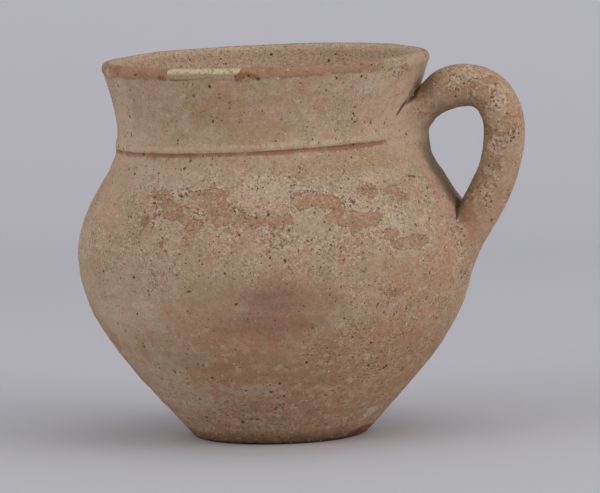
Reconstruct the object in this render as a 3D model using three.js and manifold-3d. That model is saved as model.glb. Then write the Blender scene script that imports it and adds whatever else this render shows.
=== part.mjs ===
// A hand-thrown earthenware cup: a bowl on a flat foot, a collar neck luted on over the
// bowl's mouth, one loop handle with splayed roots, and a plaster fill in a chip of the rim.
// Millimetres and degrees, +Z up. The origin is the centre of the foot, on the surface that
// the cup stands on, and the handle points along +X.

import * as THREE from "three";
import { mergeVertices, toCreasedNormals } from "three/addons/utils/BufferGeometryUtils.js";
import Module from "manifold-3d";

const wasm = await Module();
wasm.setup();

// Bowl
const FOOT_RADIUS = 23.5; // where the flank's line meets the ground
const FOOT_ROUNDING = 1.3; // how far that corner is worn back each way
const FLANK_LEAN = 42; // from upright, where the wall leaves the foot
const BELLY_RADIUS = 54.2;
const BELLY_HEIGHT = 51.5;
const SHOULDER_LEAN = 17; // from upright, where the wall reaches the seam
const SEAM_RADIUS = 41.7;
const SEAM_HEIGHT = 81.2;
const BOWL_WALL = 4.5;
const FLOOR_THICKNESS = 7;
const FLOOR_BLEND = 9; // height over which the floor inside turns up into the wall

// Pulls of the outline's curves, as shares of each curve's span
const FOOT_PULL = 0.41;
const UNDER_BELLY_PULL = 0.34;
const OVER_BELLY_PULL = 0.4;
const SEAM_PULL = 0.24;
const BEAD_PULL = 0.4;
const NECK_PULL = 0.38;

// Collar neck
const LAP_RISE = 1.7; // how much higher the seam is inside than outside
const LEDGE = 0.5; // how far the collar's foot stands proud of the shoulder
const WAIST_RISE = 4.6; // from the seam up to the collar's narrowest line
const WAIST_RADIUS = 41.3;
const NECK_FLARE = 16; // from upright, just below the lip
const RIM_HEIGHT = 104;
const RIM_RADIUS = 44.8; // at the lip's widest line
const LIP_DEPTH = 2.9; // from the crest down to the lip's lower edge
const LIP_STEP = 0.4; // how far the lip stands proud of the neck
const LIP_WIDEST_DROP = 1.9; // from the crest down to the widest line
const CREST_INSET = 1.7; // from the widest line in to the crest
const COLLAR_WALL = 4.1;

// Handle, a rolled rod of oval section
const ROD_THICKNESS = 10.9; // in the plane of the loop
const ROD_WIDTH = 12.8;
const FINGER_REACH = 19.2; // from the collar's waist to the inside of the rod at its bend
const BEND_RISE = 1; // from the seam up to the rod's furthest place
const UPPER_ROOT_RISE = 6.8; // from the seam up to where the centreline leaves the collar
const UPPER_ROOT_LEAN = 45; // above level
const LOWER_ROOT_RISE = 3.6; // from the belly's widest line up to where it enters the bowl
const LOWER_ROOT_LEAN = 55; // below level
const UPPER_ROOT_PULL = 16.5;
const ARCH_PULL = 14.2;
const BACK_PULL = 10;
const LOWER_ROOT_PULL = 12;
const UPPER_SPLAY = 8; // extra half width at the collar, on the rod's underside
const UPPER_DROP = 1.2; // extra depth there
const UPPER_SPLAY_LENGTH = 9; // how far out from the wall that root begins to splay
const LOWER_SPLAY = 5; // extra half width at the belly, on the rod's outer side
const LOWER_SPLAY_LENGTH = 15;
const UPPER_TAIL = 13; // of the rod's ends, inside the wall, before they are cut to it
const LOWER_TAIL = 15;

// Film of slip or size between two pieces
const LUTE = 0.3;

// Plaster fill in the rim, and the bruise on the foot's edge
const FILL_ANGLE = -97.3; // round the cup from the handle
const FILL_LENGTH = 21.6;
const FILL_DEEP_END = 3; // below the crest, at the end away from the handle
const FILL_SHALLOW_END = 1.9;
const FILL_CORNER = 2.2;
const FILL_SLOPE = 7; // outwards and down, of the bed that the plaster lies on
const BRUISE_ANGLE = -9;
const BRUISE_LENGTH = 12;
const BRUISE_HEIGHT = 5;
const BRUISE_DEPTH = 1.4;

// How the wet clay settled: the collar sits a little askew
const STIFF_HEIGHT = 40; // below this the bowl did not tilt
const SLIDE_HEIGHT = 55; // below this it did not slide sideways
const SEAM_TILT = 1.8;
const RIM_TILT = 0.7;
const RIM_SHIFT = 1.5; // away from the handle

// Fineness of the facets
const AROUND = 64;
const ROD_AROUND = 26;
const ROD_STEPS = 40;
const FOOT_STEPS = 3;
const FLANK_STEPS = 11;
const SHOULDER_STEPS = 9;
const FLOOR_STEPS = 7;
const NECK_STEPS = 6;
const LIP_STEPS = 4;
const CREASE = 32;

const UP = 0;
const rad = THREE.MathUtils.degToRad;
const { clamp, lerp, smoothstep } = THREE.MathUtils;
const at = (x, y) => new THREE.Vector2(x, y);

/** The point that lies a distance from a start, along a line that leans from upright. */
function along(start, lean, distance) {
  return at(start.x + distance * Math.sin(rad(lean)), start.y + distance * Math.cos(rad(lean)));
}

/** A smooth stretch between two points: it leaves one and reaches the other at a lean. */
function stretch(start, startLean, startPull, end, endLean, endPull, pieces) {
  const leaving = along(start, startLean, startPull);
  const reaching = along(end, endLean, -endPull);
  return new THREE.CubicBezierCurve(start, leaving, reaching, end).getPoints(pieces);
}

/** A line moved sideways by a distance, to its left as it is followed. */
function besideLine(points, distance) {
  return points.map((point, i) => {
    const before = points[Math.max(i - 1, 0)];
    const after = points[Math.min(i + 1, points.length - 1)];
    const way = after.clone().sub(before).normalize();
    return at(point.x - way.y * distance, point.y + way.x * distance);
  });
}

/** The height of the seam's sloping face at a radius. */
function lapHeight(radius) {
  return SEAM_HEIGHT + (LAP_RISE * (SEAM_RADIUS - radius)) / BOWL_WALL;
}

// Outlines: x is the radius and y the height

/** The bowl's outside, from its resting face up to the seam. */
function bowlOutside() {
  const corner = at(FOOT_RADIUS, 0);
  const tread = at(FOOT_RADIUS - FOOT_ROUNDING, 0);
  const heel = along(corner, FLANK_LEAN, FOOT_ROUNDING);
  const belly = at(BELLY_RADIUS, BELLY_HEIGHT);
  const seam = at(SEAM_RADIUS, SEAM_HEIGHT);
  const flankSpan = heel.distanceTo(belly);
  const shoulderSpan = belly.distanceTo(seam);
  const footPull = flankSpan * FOOT_PULL;
  const underPull = flankSpan * UNDER_BELLY_PULL;
  const overPull = shoulderSpan * OVER_BELLY_PULL;
  const seamPull = shoulderSpan * SEAM_PULL;
  return [
    ...new THREE.QuadraticBezierCurve(tread, corner, heel).getPoints(FOOT_STEPS),
    ...stretch(heel, FLANK_LEAN, footPull, belly, UP, underPull, FLANK_STEPS).slice(1),
    ...stretch(belly, UP, overPull, seam, -SHOULDER_LEAN, seamPull, SHOULDER_STEPS).slice(1),
  ];
}

/** The bowl's inside, from the seam down to the middle of its floor. */
function bowlInside() {
  const wall = besideLine(bowlOutside(), BOWL_WALL);
  const floorEdge = FLOOR_THICKNESS + FLOOR_BLEND;
  const upright = wall.filter((p) => p.y > floorEdge && p.y < SEAM_HEIGHT - BOWL_WALL);
  const lowest = upright[0];
  const way = upright[1].clone().sub(lowest);
  const turn = at(lowest.x - (way.x * (lowest.y - FLOOR_THICKNESS)) / way.y, FLOOR_THICKNESS);
  const floorLine = new THREE.QuadraticBezierCurve(at(0, FLOOR_THICKNESS), turn, lowest);
  const innerSeam = at(SEAM_RADIUS - BOWL_WALL, lapHeight(SEAM_RADIUS - BOWL_WALL));
  return [...floorLine.getPoints(FLOOR_STEPS), ...upright.slice(1), innerSeam].reverse();
}

/** The collar's foot at a radius: the seam's face, raised by the film of slip. */
function collarFoot(radius) {
  return at(radius, lapHeight(radius) + LUTE * Math.hypot(1, LAP_RISE / BOWL_WALL));
}

/** The top of the lip. */
function crestPoint() {
  return at(RIM_RADIUS - CREST_INSET, RIM_HEIGHT);
}

/** The collar's outside, from its foot on the shoulder up to the crest of the lip. */
function collarOutside() {
  const foot = collarFoot(SEAM_RADIUS + LEDGE);
  const waist = at(WAIST_RADIUS, SEAM_HEIGHT + WAIST_RISE);
  const edge = at(RIM_RADIUS - LIP_STEP, RIM_HEIGHT - LIP_DEPTH);
  const widest = at(RIM_RADIUS, RIM_HEIGHT - LIP_WIDEST_DROP);
  const beadPull = waist.distanceTo(foot) * BEAD_PULL;
  const neckPull = edge.distanceTo(waist) * NECK_PULL;
  const underLip = new THREE.QuadraticBezierCurve(edge, at(widest.x, edge.y), widest);
  const overLip = new THREE.QuadraticBezierCurve(widest, at(widest.x, RIM_HEIGHT), crestPoint());
  return [
    ...stretch(foot, UP, beadPull, waist, UP, beadPull, NECK_STEPS),
    ...stretch(waist, UP, neckPull, edge, NECK_FLARE, neckPull, NECK_STEPS).slice(1),
    ...underLip.getPoints(LIP_STEPS).slice(1),
    ...overLip.getPoints(LIP_STEPS).slice(1),
  ];
}

/** The collar's inside, from the crest down to its foot. */
function collarInside() {
  const lip = at(RIM_RADIUS - COLLAR_WALL, RIM_HEIGHT - LIP_DEPTH);
  const waist = at(WAIST_RADIUS - COLLAR_WALL, SEAM_HEIGHT + WAIST_RISE);
  const neckPull = lip.distanceTo(waist) * NECK_PULL;
  const neck = stretch(waist, UP, neckPull, lip, NECK_FLARE, neckPull, NECK_STEPS).reverse();
  const overLip = new THREE.QuadraticBezierCurve(crestPoint(), at(lip.x, RIM_HEIGHT), lip);
  return [...overLip.getPoints(LIP_STEPS).slice(1), ...neck.slice(1), collarFoot(SEAM_RADIUS - BOWL_WALL)];
}

// Solids

/** A turned body: the outline spun round the upright axis. */
function turned(outline) {
  return new THREE.LatheGeometry(outline, AROUND).rotateX(Math.PI / 2);
}

/** A solid for cutting and joining, from a closed geometry. */
function solid(geometry) {
  const bare = geometry.clone();
  bare.deleteAttribute("normal");
  bare.deleteAttribute("uv");
  const merged = mergeVertices(bare);
  const corners = merged.index.array;
  const kept = [];
  for (let i = 0; i < corners.length; i += 3) {
    const [a, b, c] = corners.slice(i, i + 3);
    if (a !== b && b !== c && c !== a) kept.push(a, b, c);
  }
  const vertProperties = new Float32Array(merged.attributes.position.array);
  const triVerts = new Uint32Array(kept);
  return new wasm.Manifold(new wasm.Mesh({ numProp: 3, vertProperties, triVerts }));
}

/** The geometry of a solid, settled as the wet clay did, with its edges kept crisp. */
function settled(body) {
  const { vertProperties, triVerts } = body.getMesh();
  const geometry = new THREE.BufferGeometry();
  const position = new THREE.BufferAttribute(vertProperties, 3);
  for (let i = 0; i < position.count; i += 1) {
    const x = position.getX(i);
    const z = position.getZ(i);
    const neck = clamp((z - SEAM_HEIGHT) / (RIM_HEIGHT - SEAM_HEIGHT), 0, 1);
    const tilt = lerp(SEAM_TILT * smoothstep(z, STIFF_HEIGHT, SEAM_HEIGHT), RIM_TILT, neck);
    position.setX(i, x - RIM_SHIFT * smoothstep(z, SLIDE_HEIGHT, RIM_HEIGHT));
    position.setZ(i, z + x * Math.tan(rad(tilt)));
  }
  geometry.setAttribute("position", position);
  geometry.setIndex(new THREE.BufferAttribute(triVerts, 1));
  return toCreasedNormals(geometry, rad(CREASE));
}

/** The bowl, before the bruise on its foot. */
function bowlBody() {
  return solid(turned([at(0, 0), ...bowlOutside(), ...bowlInside()]));
}

/** The collar, before the chip in its rim. */
function collarBody() {
  const outside = collarOutside();
  return solid(turned([...outside, ...collarInside(), outside[0]]));
}

/** All that lies within a film of slip of the vessel's outside. */
function vesselBody() {
  const outside = [...bowlOutside(), ...collarOutside()];
  const film = besideLine(outside, -LUTE);
  const top = film[film.length - 1].y;
  return solid(turned([at(0, 0), ...film, at(0, top)]));
}

/** The bed of the rim's chip, drawn in by a clearance: a block laid across the wall. */
function chipBody(clearance) {
  const half = FILL_LENGTH / 2 - clearance;
  const deep = -FILL_DEEP_END + clearance;
  const shallow = -FILL_SHALLOW_END + clearance;
  const over = LIP_DEPTH;
  const bed = new THREE.Shape();
  bed.moveTo(-half, over);
  bed.lineTo(-half, deep + FILL_CORNER);
  bed.quadraticCurveTo(-half, deep, -half + FILL_CORNER, deep);
  bed.bezierCurveTo(-half / 3, deep, half / 3, shallow, half - FILL_CORNER, shallow);
  bed.quadraticCurveTo(half, shallow, half, shallow + FILL_CORNER);
  bed.lineTo(half, over);
  const across = COLLAR_WALL * 3;
  const block = new THREE.ExtrudeGeometry(bed, { depth: across, bevelEnabled: false, curveSegments: 6 });
  block.translate(0, 0, -across / 2).rotateX(Math.PI / 2 + rad(FILL_SLOPE));
  block.translate(0, -(RIM_RADIUS - COLLAR_WALL / 2), RIM_HEIGHT);
  return solid(block.rotateZ(rad(FILL_ANGLE + 90)));
}

/** The hollow knocked out of the foot's edge. */
function bruiseBody() {
  const knock = new THREE.SphereGeometry(0.5, 20, 12);
  knock.scale(BRUISE_DEPTH * 2, BRUISE_LENGTH, BRUISE_HEIGHT);
  knock.rotateY(rad(FLANK_LEAN));
  knock.translate(FOOT_RADIUS, 0, 0);
  return solid(knock.rotateZ(rad(BRUISE_ANGLE)));
}

/** The radius of an outline at a height. */
function radiusAt(outline, height) {
  const next = Math.max(outline.findIndex((p) => p.y >= height), 1);
  const low = outline[next - 1];
  const high = outline[next];
  return lerp(low.x, high.x, clamp((height - low.y) / (high.y - low.y), 0, 1));
}

/** The rod's centreline, from inside the collar round the loop to inside the bowl. */
function rodLine() {
  const upperHeight = SEAM_HEIGHT + UPPER_ROOT_RISE;
  const lowerHeight = BELLY_HEIGHT + LOWER_ROOT_RISE;
  const upper = at(radiusAt(collarOutside(), upperHeight), upperHeight);
  const lower = at(radiusAt(bowlOutside(), lowerHeight), lowerHeight);
  const bend = at(WAIST_RADIUS + FINGER_REACH + ROD_THICKNESS / 2, SEAM_HEIGHT + BEND_RISE);
  const start = along(upper, 90 - UPPER_ROOT_LEAN, -UPPER_TAIL);
  const end = along(lower, 90 - LOWER_ROOT_LEAN, -LOWER_TAIL);
  const line = new THREE.CurvePath();
  const leaving = along(upper, 90 - UPPER_ROOT_LEAN, UPPER_ROOT_PULL);
  const reaching = along(lower, 90 - LOWER_ROOT_LEAN, LOWER_ROOT_PULL);
  const over = at(bend.x, bend.y + ARCH_PULL);
  const under = at(bend.x, bend.y - BACK_PULL);
  line.add(new THREE.LineCurve(start, upper));
  line.add(new THREE.CubicBezierCurve(upper, leaving, over, bend));
  line.add(new THREE.CubicBezierCurve(bend, under, reaching, lower));
  line.add(new THREE.LineCurve(lower, end));
  return line;
}

/** A closed skin over rings of points that are all of one count. */
function skin(rings) {
  const around = rings[0].length;
  const last = (rings.length - 1) * around;
  const faces = [];
  for (let ring = 0; ring < last; ring += around) {
    for (let j = 0; j < around; j += 1) {
      const next = (j + 1) % around;
      faces.push(ring + j, ring + around + j, ring + next);
      faces.push(ring + next, ring + around + j, ring + around + next);
    }
  }
  for (let j = 1; j < around - 1; j += 1) {
    faces.push(0, j, j + 1);
    faces.push(last, last + j + 1, last + j);
  }
  const geometry = new THREE.BufferGeometry().setFromPoints(rings.flat());
  return geometry.setIndex(faces);
}

/** The handle: oval rings along the rod, wider and deeper where they meet the vessel. */
function handleBody() {
  const line = rodLine();
  const length = line.getLength();
  const bounds = line.getCurveLengths();
  const rings = [];
  for (let i = 0; i <= ROD_STEPS; i += 1) {
    const share = i / ROD_STEPS;
    const centre = line.getPointAt(share);
    const way = line.getTangentAt(share);
    const upper = clamp(1 - (share * length - bounds[0]) / UPPER_SPLAY_LENGTH, 0, 1) ** 2;
    const lower = clamp(1 - (bounds[2] - share * length) / LOWER_SPLAY_LENGTH, 0, 1) ** 2;
    const inner = ROD_THICKNESS / 2 + UPPER_DROP * upper;
    const ring = [];
    for (let j = 0; j < ROD_AROUND; j += 1) {
      const turn = (j / ROD_AROUND) * 2 * Math.PI;
      const outwards = (1 + Math.cos(turn)) / 2;
      const splay = UPPER_SPLAY * upper * (1 - outwards) + LOWER_SPLAY * lower * outwards;
      const side = Math.sin(turn) * (ROD_WIDTH / 2 + splay);
      const out = Math.cos(turn) * (Math.cos(turn) > 0 ? ROD_THICKNESS / 2 : inner);
      ring.push(new THREE.Vector3(centre.x - way.y * out, side, centre.y + way.x * out));
    }
    rings.push(ring);
  }
  return solid(skin(rings)).subtract(vesselBody());
}

/** One named piece of the cup, with its own finish. */
function piece(name, body, colour, roughness) {
  const finish = new THREE.MeshStandardMaterial({ color: colour, roughness, metalness: 0 });
  const mesh = new THREE.Mesh(settled(body), finish);
  mesh.name = name;
  return mesh;
}

const cup = new THREE.Group();
cup.name = "cup";
cup.add(piece("bowl", bowlBody().subtract(bruiseBody()), 0xa2876b, 0.9));
cup.add(piece("neck_collar", collarBody().subtract(chipBody(0)), 0xa88d71, 0.9));
cup.add(piece("handle", handleBody(), 0xa38469, 0.88));
cup.add(piece("rim_fill", collarBody().intersect(chipBody(LUTE)), 0xb4a68d, 0.95));

export default cup;
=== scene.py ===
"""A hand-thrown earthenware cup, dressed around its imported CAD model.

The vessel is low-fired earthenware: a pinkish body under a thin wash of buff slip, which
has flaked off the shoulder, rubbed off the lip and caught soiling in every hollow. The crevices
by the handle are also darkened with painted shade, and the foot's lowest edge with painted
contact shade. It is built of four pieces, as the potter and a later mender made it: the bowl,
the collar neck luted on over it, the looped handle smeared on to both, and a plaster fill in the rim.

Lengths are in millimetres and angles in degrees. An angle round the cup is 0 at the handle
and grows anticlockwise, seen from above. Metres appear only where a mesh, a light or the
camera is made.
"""

from __future__ import annotations

import logging
import math
from collections.abc import Mapping
from dataclasses import dataclass, field
from enum import Enum
from itertools import product

import bpy
import numpy as np
from mathutils import Matrix, Vector


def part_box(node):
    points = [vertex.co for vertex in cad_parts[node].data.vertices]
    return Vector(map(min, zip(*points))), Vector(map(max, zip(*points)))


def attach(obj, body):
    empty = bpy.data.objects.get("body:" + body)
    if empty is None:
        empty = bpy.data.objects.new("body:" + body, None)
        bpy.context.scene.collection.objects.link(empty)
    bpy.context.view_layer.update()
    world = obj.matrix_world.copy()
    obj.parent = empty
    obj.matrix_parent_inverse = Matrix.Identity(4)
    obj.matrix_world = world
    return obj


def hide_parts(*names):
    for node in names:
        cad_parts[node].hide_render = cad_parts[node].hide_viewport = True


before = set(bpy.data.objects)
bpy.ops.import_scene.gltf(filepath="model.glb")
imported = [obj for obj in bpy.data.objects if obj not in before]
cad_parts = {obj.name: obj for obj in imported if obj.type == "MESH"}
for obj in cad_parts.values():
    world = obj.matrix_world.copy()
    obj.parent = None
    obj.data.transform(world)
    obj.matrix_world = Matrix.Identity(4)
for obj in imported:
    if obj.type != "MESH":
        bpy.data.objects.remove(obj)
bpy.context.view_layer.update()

Array = np.ndarray

MM = 0.001
TURN = 2.0 * math.pi
BODY = "root"
CUP_MIDDLE = (0.0, 0.0, 50.0)
CURVE_POINTS = 400  # on a long curve, before it is read at even spacing
ARC_POINTS = 60  # on a short one
OCTAVE_SHIFT = 19.19  # moves the cells of each octave of noise off those of the one before
NOISE_GAIN = 1.55  # brings the noise to about -1 to 1

log = logging.getLogger("cup")


class Slot(Enum):
    """The record's material slots."""

    EARTHENWARE = "slipped_earthenware"
    PLASTER = "fill_plaster"


# Small tools for numbers


def ramp(value: Array | float, start: float, stop: float) -> Array:
    """A smooth step: 0 up to start, 1 from stop on, and three t squared less two t cubed between.

    Args:
        value: Where to read the step.
        start: Where it leaves 0.
        stop: Where it reaches 1. It may lie below start.

    Returns:
        The step's height at each value.
    """
    t = np.clip((np.asarray(value, float) - start) / (stop - start), 0.0, 1.0)
    return t * t * (3.0 - 2.0 * t)


def blend(first: Array, second: Array, share: Array | float) -> Array:
    """What lies a share of the way from the first to the second."""
    return first + (second - first) * share


def bezier(corners: list[Array], count: int) -> Array:
    """Points on a Bezier curve: the sum of its corners, each times its Bernstein share.

    Args:
        corners: The control points, two or more.
        count: How many points.

    Returns:
        The points, one to a row.
    """
    t = np.linspace(0.0, 1.0, count)[:, None]
    last = len(corners) - 1
    shares = [math.comb(last, k) * t**k * (1.0 - t) ** (last - k) for k in range(last + 1)]
    return sum(share * np.asarray(corner, float) for share, corner in zip(shares, corners))


def leant(start: Array, lean: float, distance: float) -> Array:
    """The point at a distance from a start, along a line that leans from upright."""
    way = math.radians(lean)
    return np.asarray(start, float) + distance * np.array([math.sin(way), math.cos(way)])


def stretch(
    start: Array, leaving: tuple[float, float], end: Array, reaching: tuple[float, float]
) -> Array:
    """A smooth stretch of outline: the cubic that leaves and reaches its ends at set leans.

    Args:
        start: Where it begins.
        leaving: Its lean there, and how far the start pulls.
        end: Where it ends.
        reaching: Its lean there, and how far the end pulls.

    Returns:
        Points along it, one to a row.
    """
    corners = [start, leant(start, *leaving), leant(end, reaching[0], -reaching[1]), end]
    return bezier(corners, CURVE_POINTS)


def running(line: Array) -> Array:
    """The length that a line has run at each of its points."""
    return np.concatenate([[0.0], np.cumsum(np.linalg.norm(np.diff(line, axis=0), axis=1))])


def evenly(line: Array, count: int) -> Array:
    """Points at even spacing along a line, read off by its running length."""
    run = running(line)
    wanted = np.linspace(0.0, run[-1], count)
    return np.stack([np.interp(wanted, run, line[:, k]) for k in range(line.shape[1])], axis=1)


def directions(line: Array) -> Array:
    """The unit direction of a line at each of its points."""
    way = np.gradient(line, axis=0)
    return way / np.maximum(np.linalg.norm(way, axis=1, keepdims=True), 1e-9)


def spun(radius: Array, angle: Array, height: Array) -> Array:
    """Points at a radius, an angle in radians round the upright axis, and a height."""
    parts = np.broadcast_arrays(radius * np.cos(angle), radius * np.sin(angle), height)
    return np.stack(parts, axis=-1)


def bearing(points: Array) -> Array:
    """The angle of points round the cup, in degrees from -180 to 180."""
    return np.degrees(np.arctan2(points[..., 1], points[..., 0]))


def turned_from(angle: float, points: Array) -> Array:
    """How far points are turned round the cup from an angle, from -180 to 180."""
    return (bearing(points) - angle + 180.0) % 360.0 - 180.0


def cell_keys(cell: Array, table: Array) -> Array:
    """A number from 0 to 255 for each cell of space, mixed by a shuffled table."""
    key = table[cell[..., 0] & 255]
    key = table[(key + cell[..., 1]) & 255]
    return table[(key + cell[..., 2]) & 255]


@dataclass(frozen=True)
class Cloud:
    """Smooth seeded noise in space, from about -1 to 1.

    Attributes:
        size: The width of its largest lumps.
        seed: Picks the pattern.
        octaves: How many times it is added again at half the size and half the strength.
    """

    size: float
    seed: int
    octaves: int = 2

    def at(self, points: Array) -> Array:
        """The noise at points: each cell corner's own slope, faded into the next by a quintic.

        Args:
            points: Places in space, with three numbers in the last axis.

        Returns:
            One value for each place.
        """
        rng = np.random.default_rng(self.seed)
        table = rng.permutation(256)
        slopes = rng.normal(size=(256, 3))
        slopes /= np.linalg.norm(slopes, axis=1, keepdims=True)
        total = np.zeros(points.shape[:-1])
        for octave in range(self.octaves):
            place = points / self.size * 2.0**octave + OCTAVE_SHIFT * octave
            cell = np.floor(place).astype(np.int64)
            part = place - cell
            fade = part**3 * (part * (part * 6.0 - 15.0) + 10.0)
            for corner in product((0, 1), repeat=3):
                slope = slopes[cell_keys(cell + corner, table)]
                rise = (slope * (part - corner)).sum(-1)
                nearness = np.prod(np.where(corner, fade, 1.0 - fade), axis=-1)
                total += rise * nearness * 0.5**octave
        return total * NOISE_GAIN


@dataclass(frozen=True)
class Strewn:
    """Round spots strewn at random over the clay, such as pits.

    Attributes:
        spacing: The width of the cells of space, each of which may hold one.
        radius: Of the largest.
        share: Of the cells that hold one.
        seed: Picks the pattern.
    """

    spacing: float
    radius: float
    share: float
    seed: int

    def at(self, points: Array) -> Array:
        """1 in the middle of a spot and 0 outside: 1 less the squared share of its radius.

        Args:
            points: Places in space, with three numbers in the last axis.

        Returns:
            One value for each place.
        """
        rng = np.random.default_rng(self.seed)
        table = rng.permutation(256)
        traits = rng.random((256, 5))
        place = points / self.spacing
        cell = np.floor(place).astype(np.int64)
        depth = np.zeros(points.shape[:-1])
        for step in product((-1, 0, 1), repeat=3):
            near = cell + step
            trait = traits[cell_keys(near, table)]
            gap = np.linalg.norm(near + trait[..., :3] - place, axis=-1) * self.spacing
            radius = self.radius * (0.45 + 0.55 * trait[..., 3])
            spot = np.where(trait[..., 4] < self.share, 1.0 - (gap / radius) ** 2, 0.0)
            depth = np.maximum(depth, spot)
        return depth


# Meshes


def linked(name: str, data: bpy.types.ID) -> bpy.types.Object:
    """Makes an object of a mesh, a light or a camera, and links it to the scene."""
    made = bpy.data.objects.new(name, data)
    bpy.context.scene.collection.objects.link(made)
    return made


def smooth_mesh(name: str, points: Array, faces: list[tuple[int, ...]]) -> bpy.types.Mesh:
    """A smooth-shaded mesh of faces between points in millimetres."""
    mesh = bpy.data.meshes.new(name)
    mesh.from_pydata((points * MM).tolist(), [], faces)
    mesh.polygons.foreach_set("use_smooth", np.ones(len(mesh.polygons), bool))
    return mesh


def skin(
    name: str, grid: Array, marks: Mapping[str, Array], *, ring: bool = False
) -> bpy.types.Object:
    """Makes an object from a grid of points whose columns close on themselves.

    Each square of four neighbours is a face. The rows close on themselves too where the
    piece is a ring; otherwise each end row is closed by a fan to the middle of that row.

    Args:
        name: The object's name.
        grid: The points in millimetres, of shape (rows, columns, 3).
        marks: Amounts for the material, each of shape (rows, columns), or with a last axis of 3.
        ring: Whether the last row meets the first.

    Returns:
        The object, shaded smooth and linked to the scene.
    """
    rows, columns = grid.shape[:2]
    here = np.arange(rows * columns).reshape(rows, columns)
    beside = np.roll(here, -1, axis=1)
    above = np.roll(here, -1, axis=0)
    beside_above = np.roll(beside, -1, axis=0)
    kept = slice(None) if ring else slice(0, rows - 1)
    quads = np.stack([here, beside, beside_above, above], axis=-1)[kept].reshape(-1, 4)
    faces = quads.tolist()
    points = grid.reshape(-1, 3)
    if not ring:
        first, last = rows * columns, rows * columns + 1
        faces += np.stack([beside[0], here[0], np.full(columns, first)], axis=1).tolist()
        faces += np.stack([here[-1], beside[-1], np.full(columns, last)], axis=1).tolist()
        points = np.concatenate([points, grid[[0, -1]].mean(axis=1)])
    mesh = smooth_mesh(name, points, faces)
    for mark, values in marks.items():
        values = np.asarray(values, float)
        flat = values.reshape(rows * columns, -1)
        if not ring:
            flat = np.concatenate([flat, values[[0, -1]].mean(axis=1).reshape(2, -1)])
        vector = flat.shape[1] == 3
        layer = mesh.attributes.new(mark, "FLOAT_VECTOR" if vector else "FLOAT", "POINT")
        layer.data.foreach_set("vector" if vector else "value", flat.astype(np.float32).ravel())
    mesh.update()
    return linked(name, mesh)


def seat(piece: bpy.types.Object, node: str, material: bpy.types.Material) -> None:
    """Gives a piece its material and its body, and hides the CAD node that it stands for."""
    piece.data.materials.append(material)
    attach(piece, BODY)
    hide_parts(node)
    log.info("%s: %d points", piece.name, len(piece.data.vertices))


# The thrown form


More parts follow.
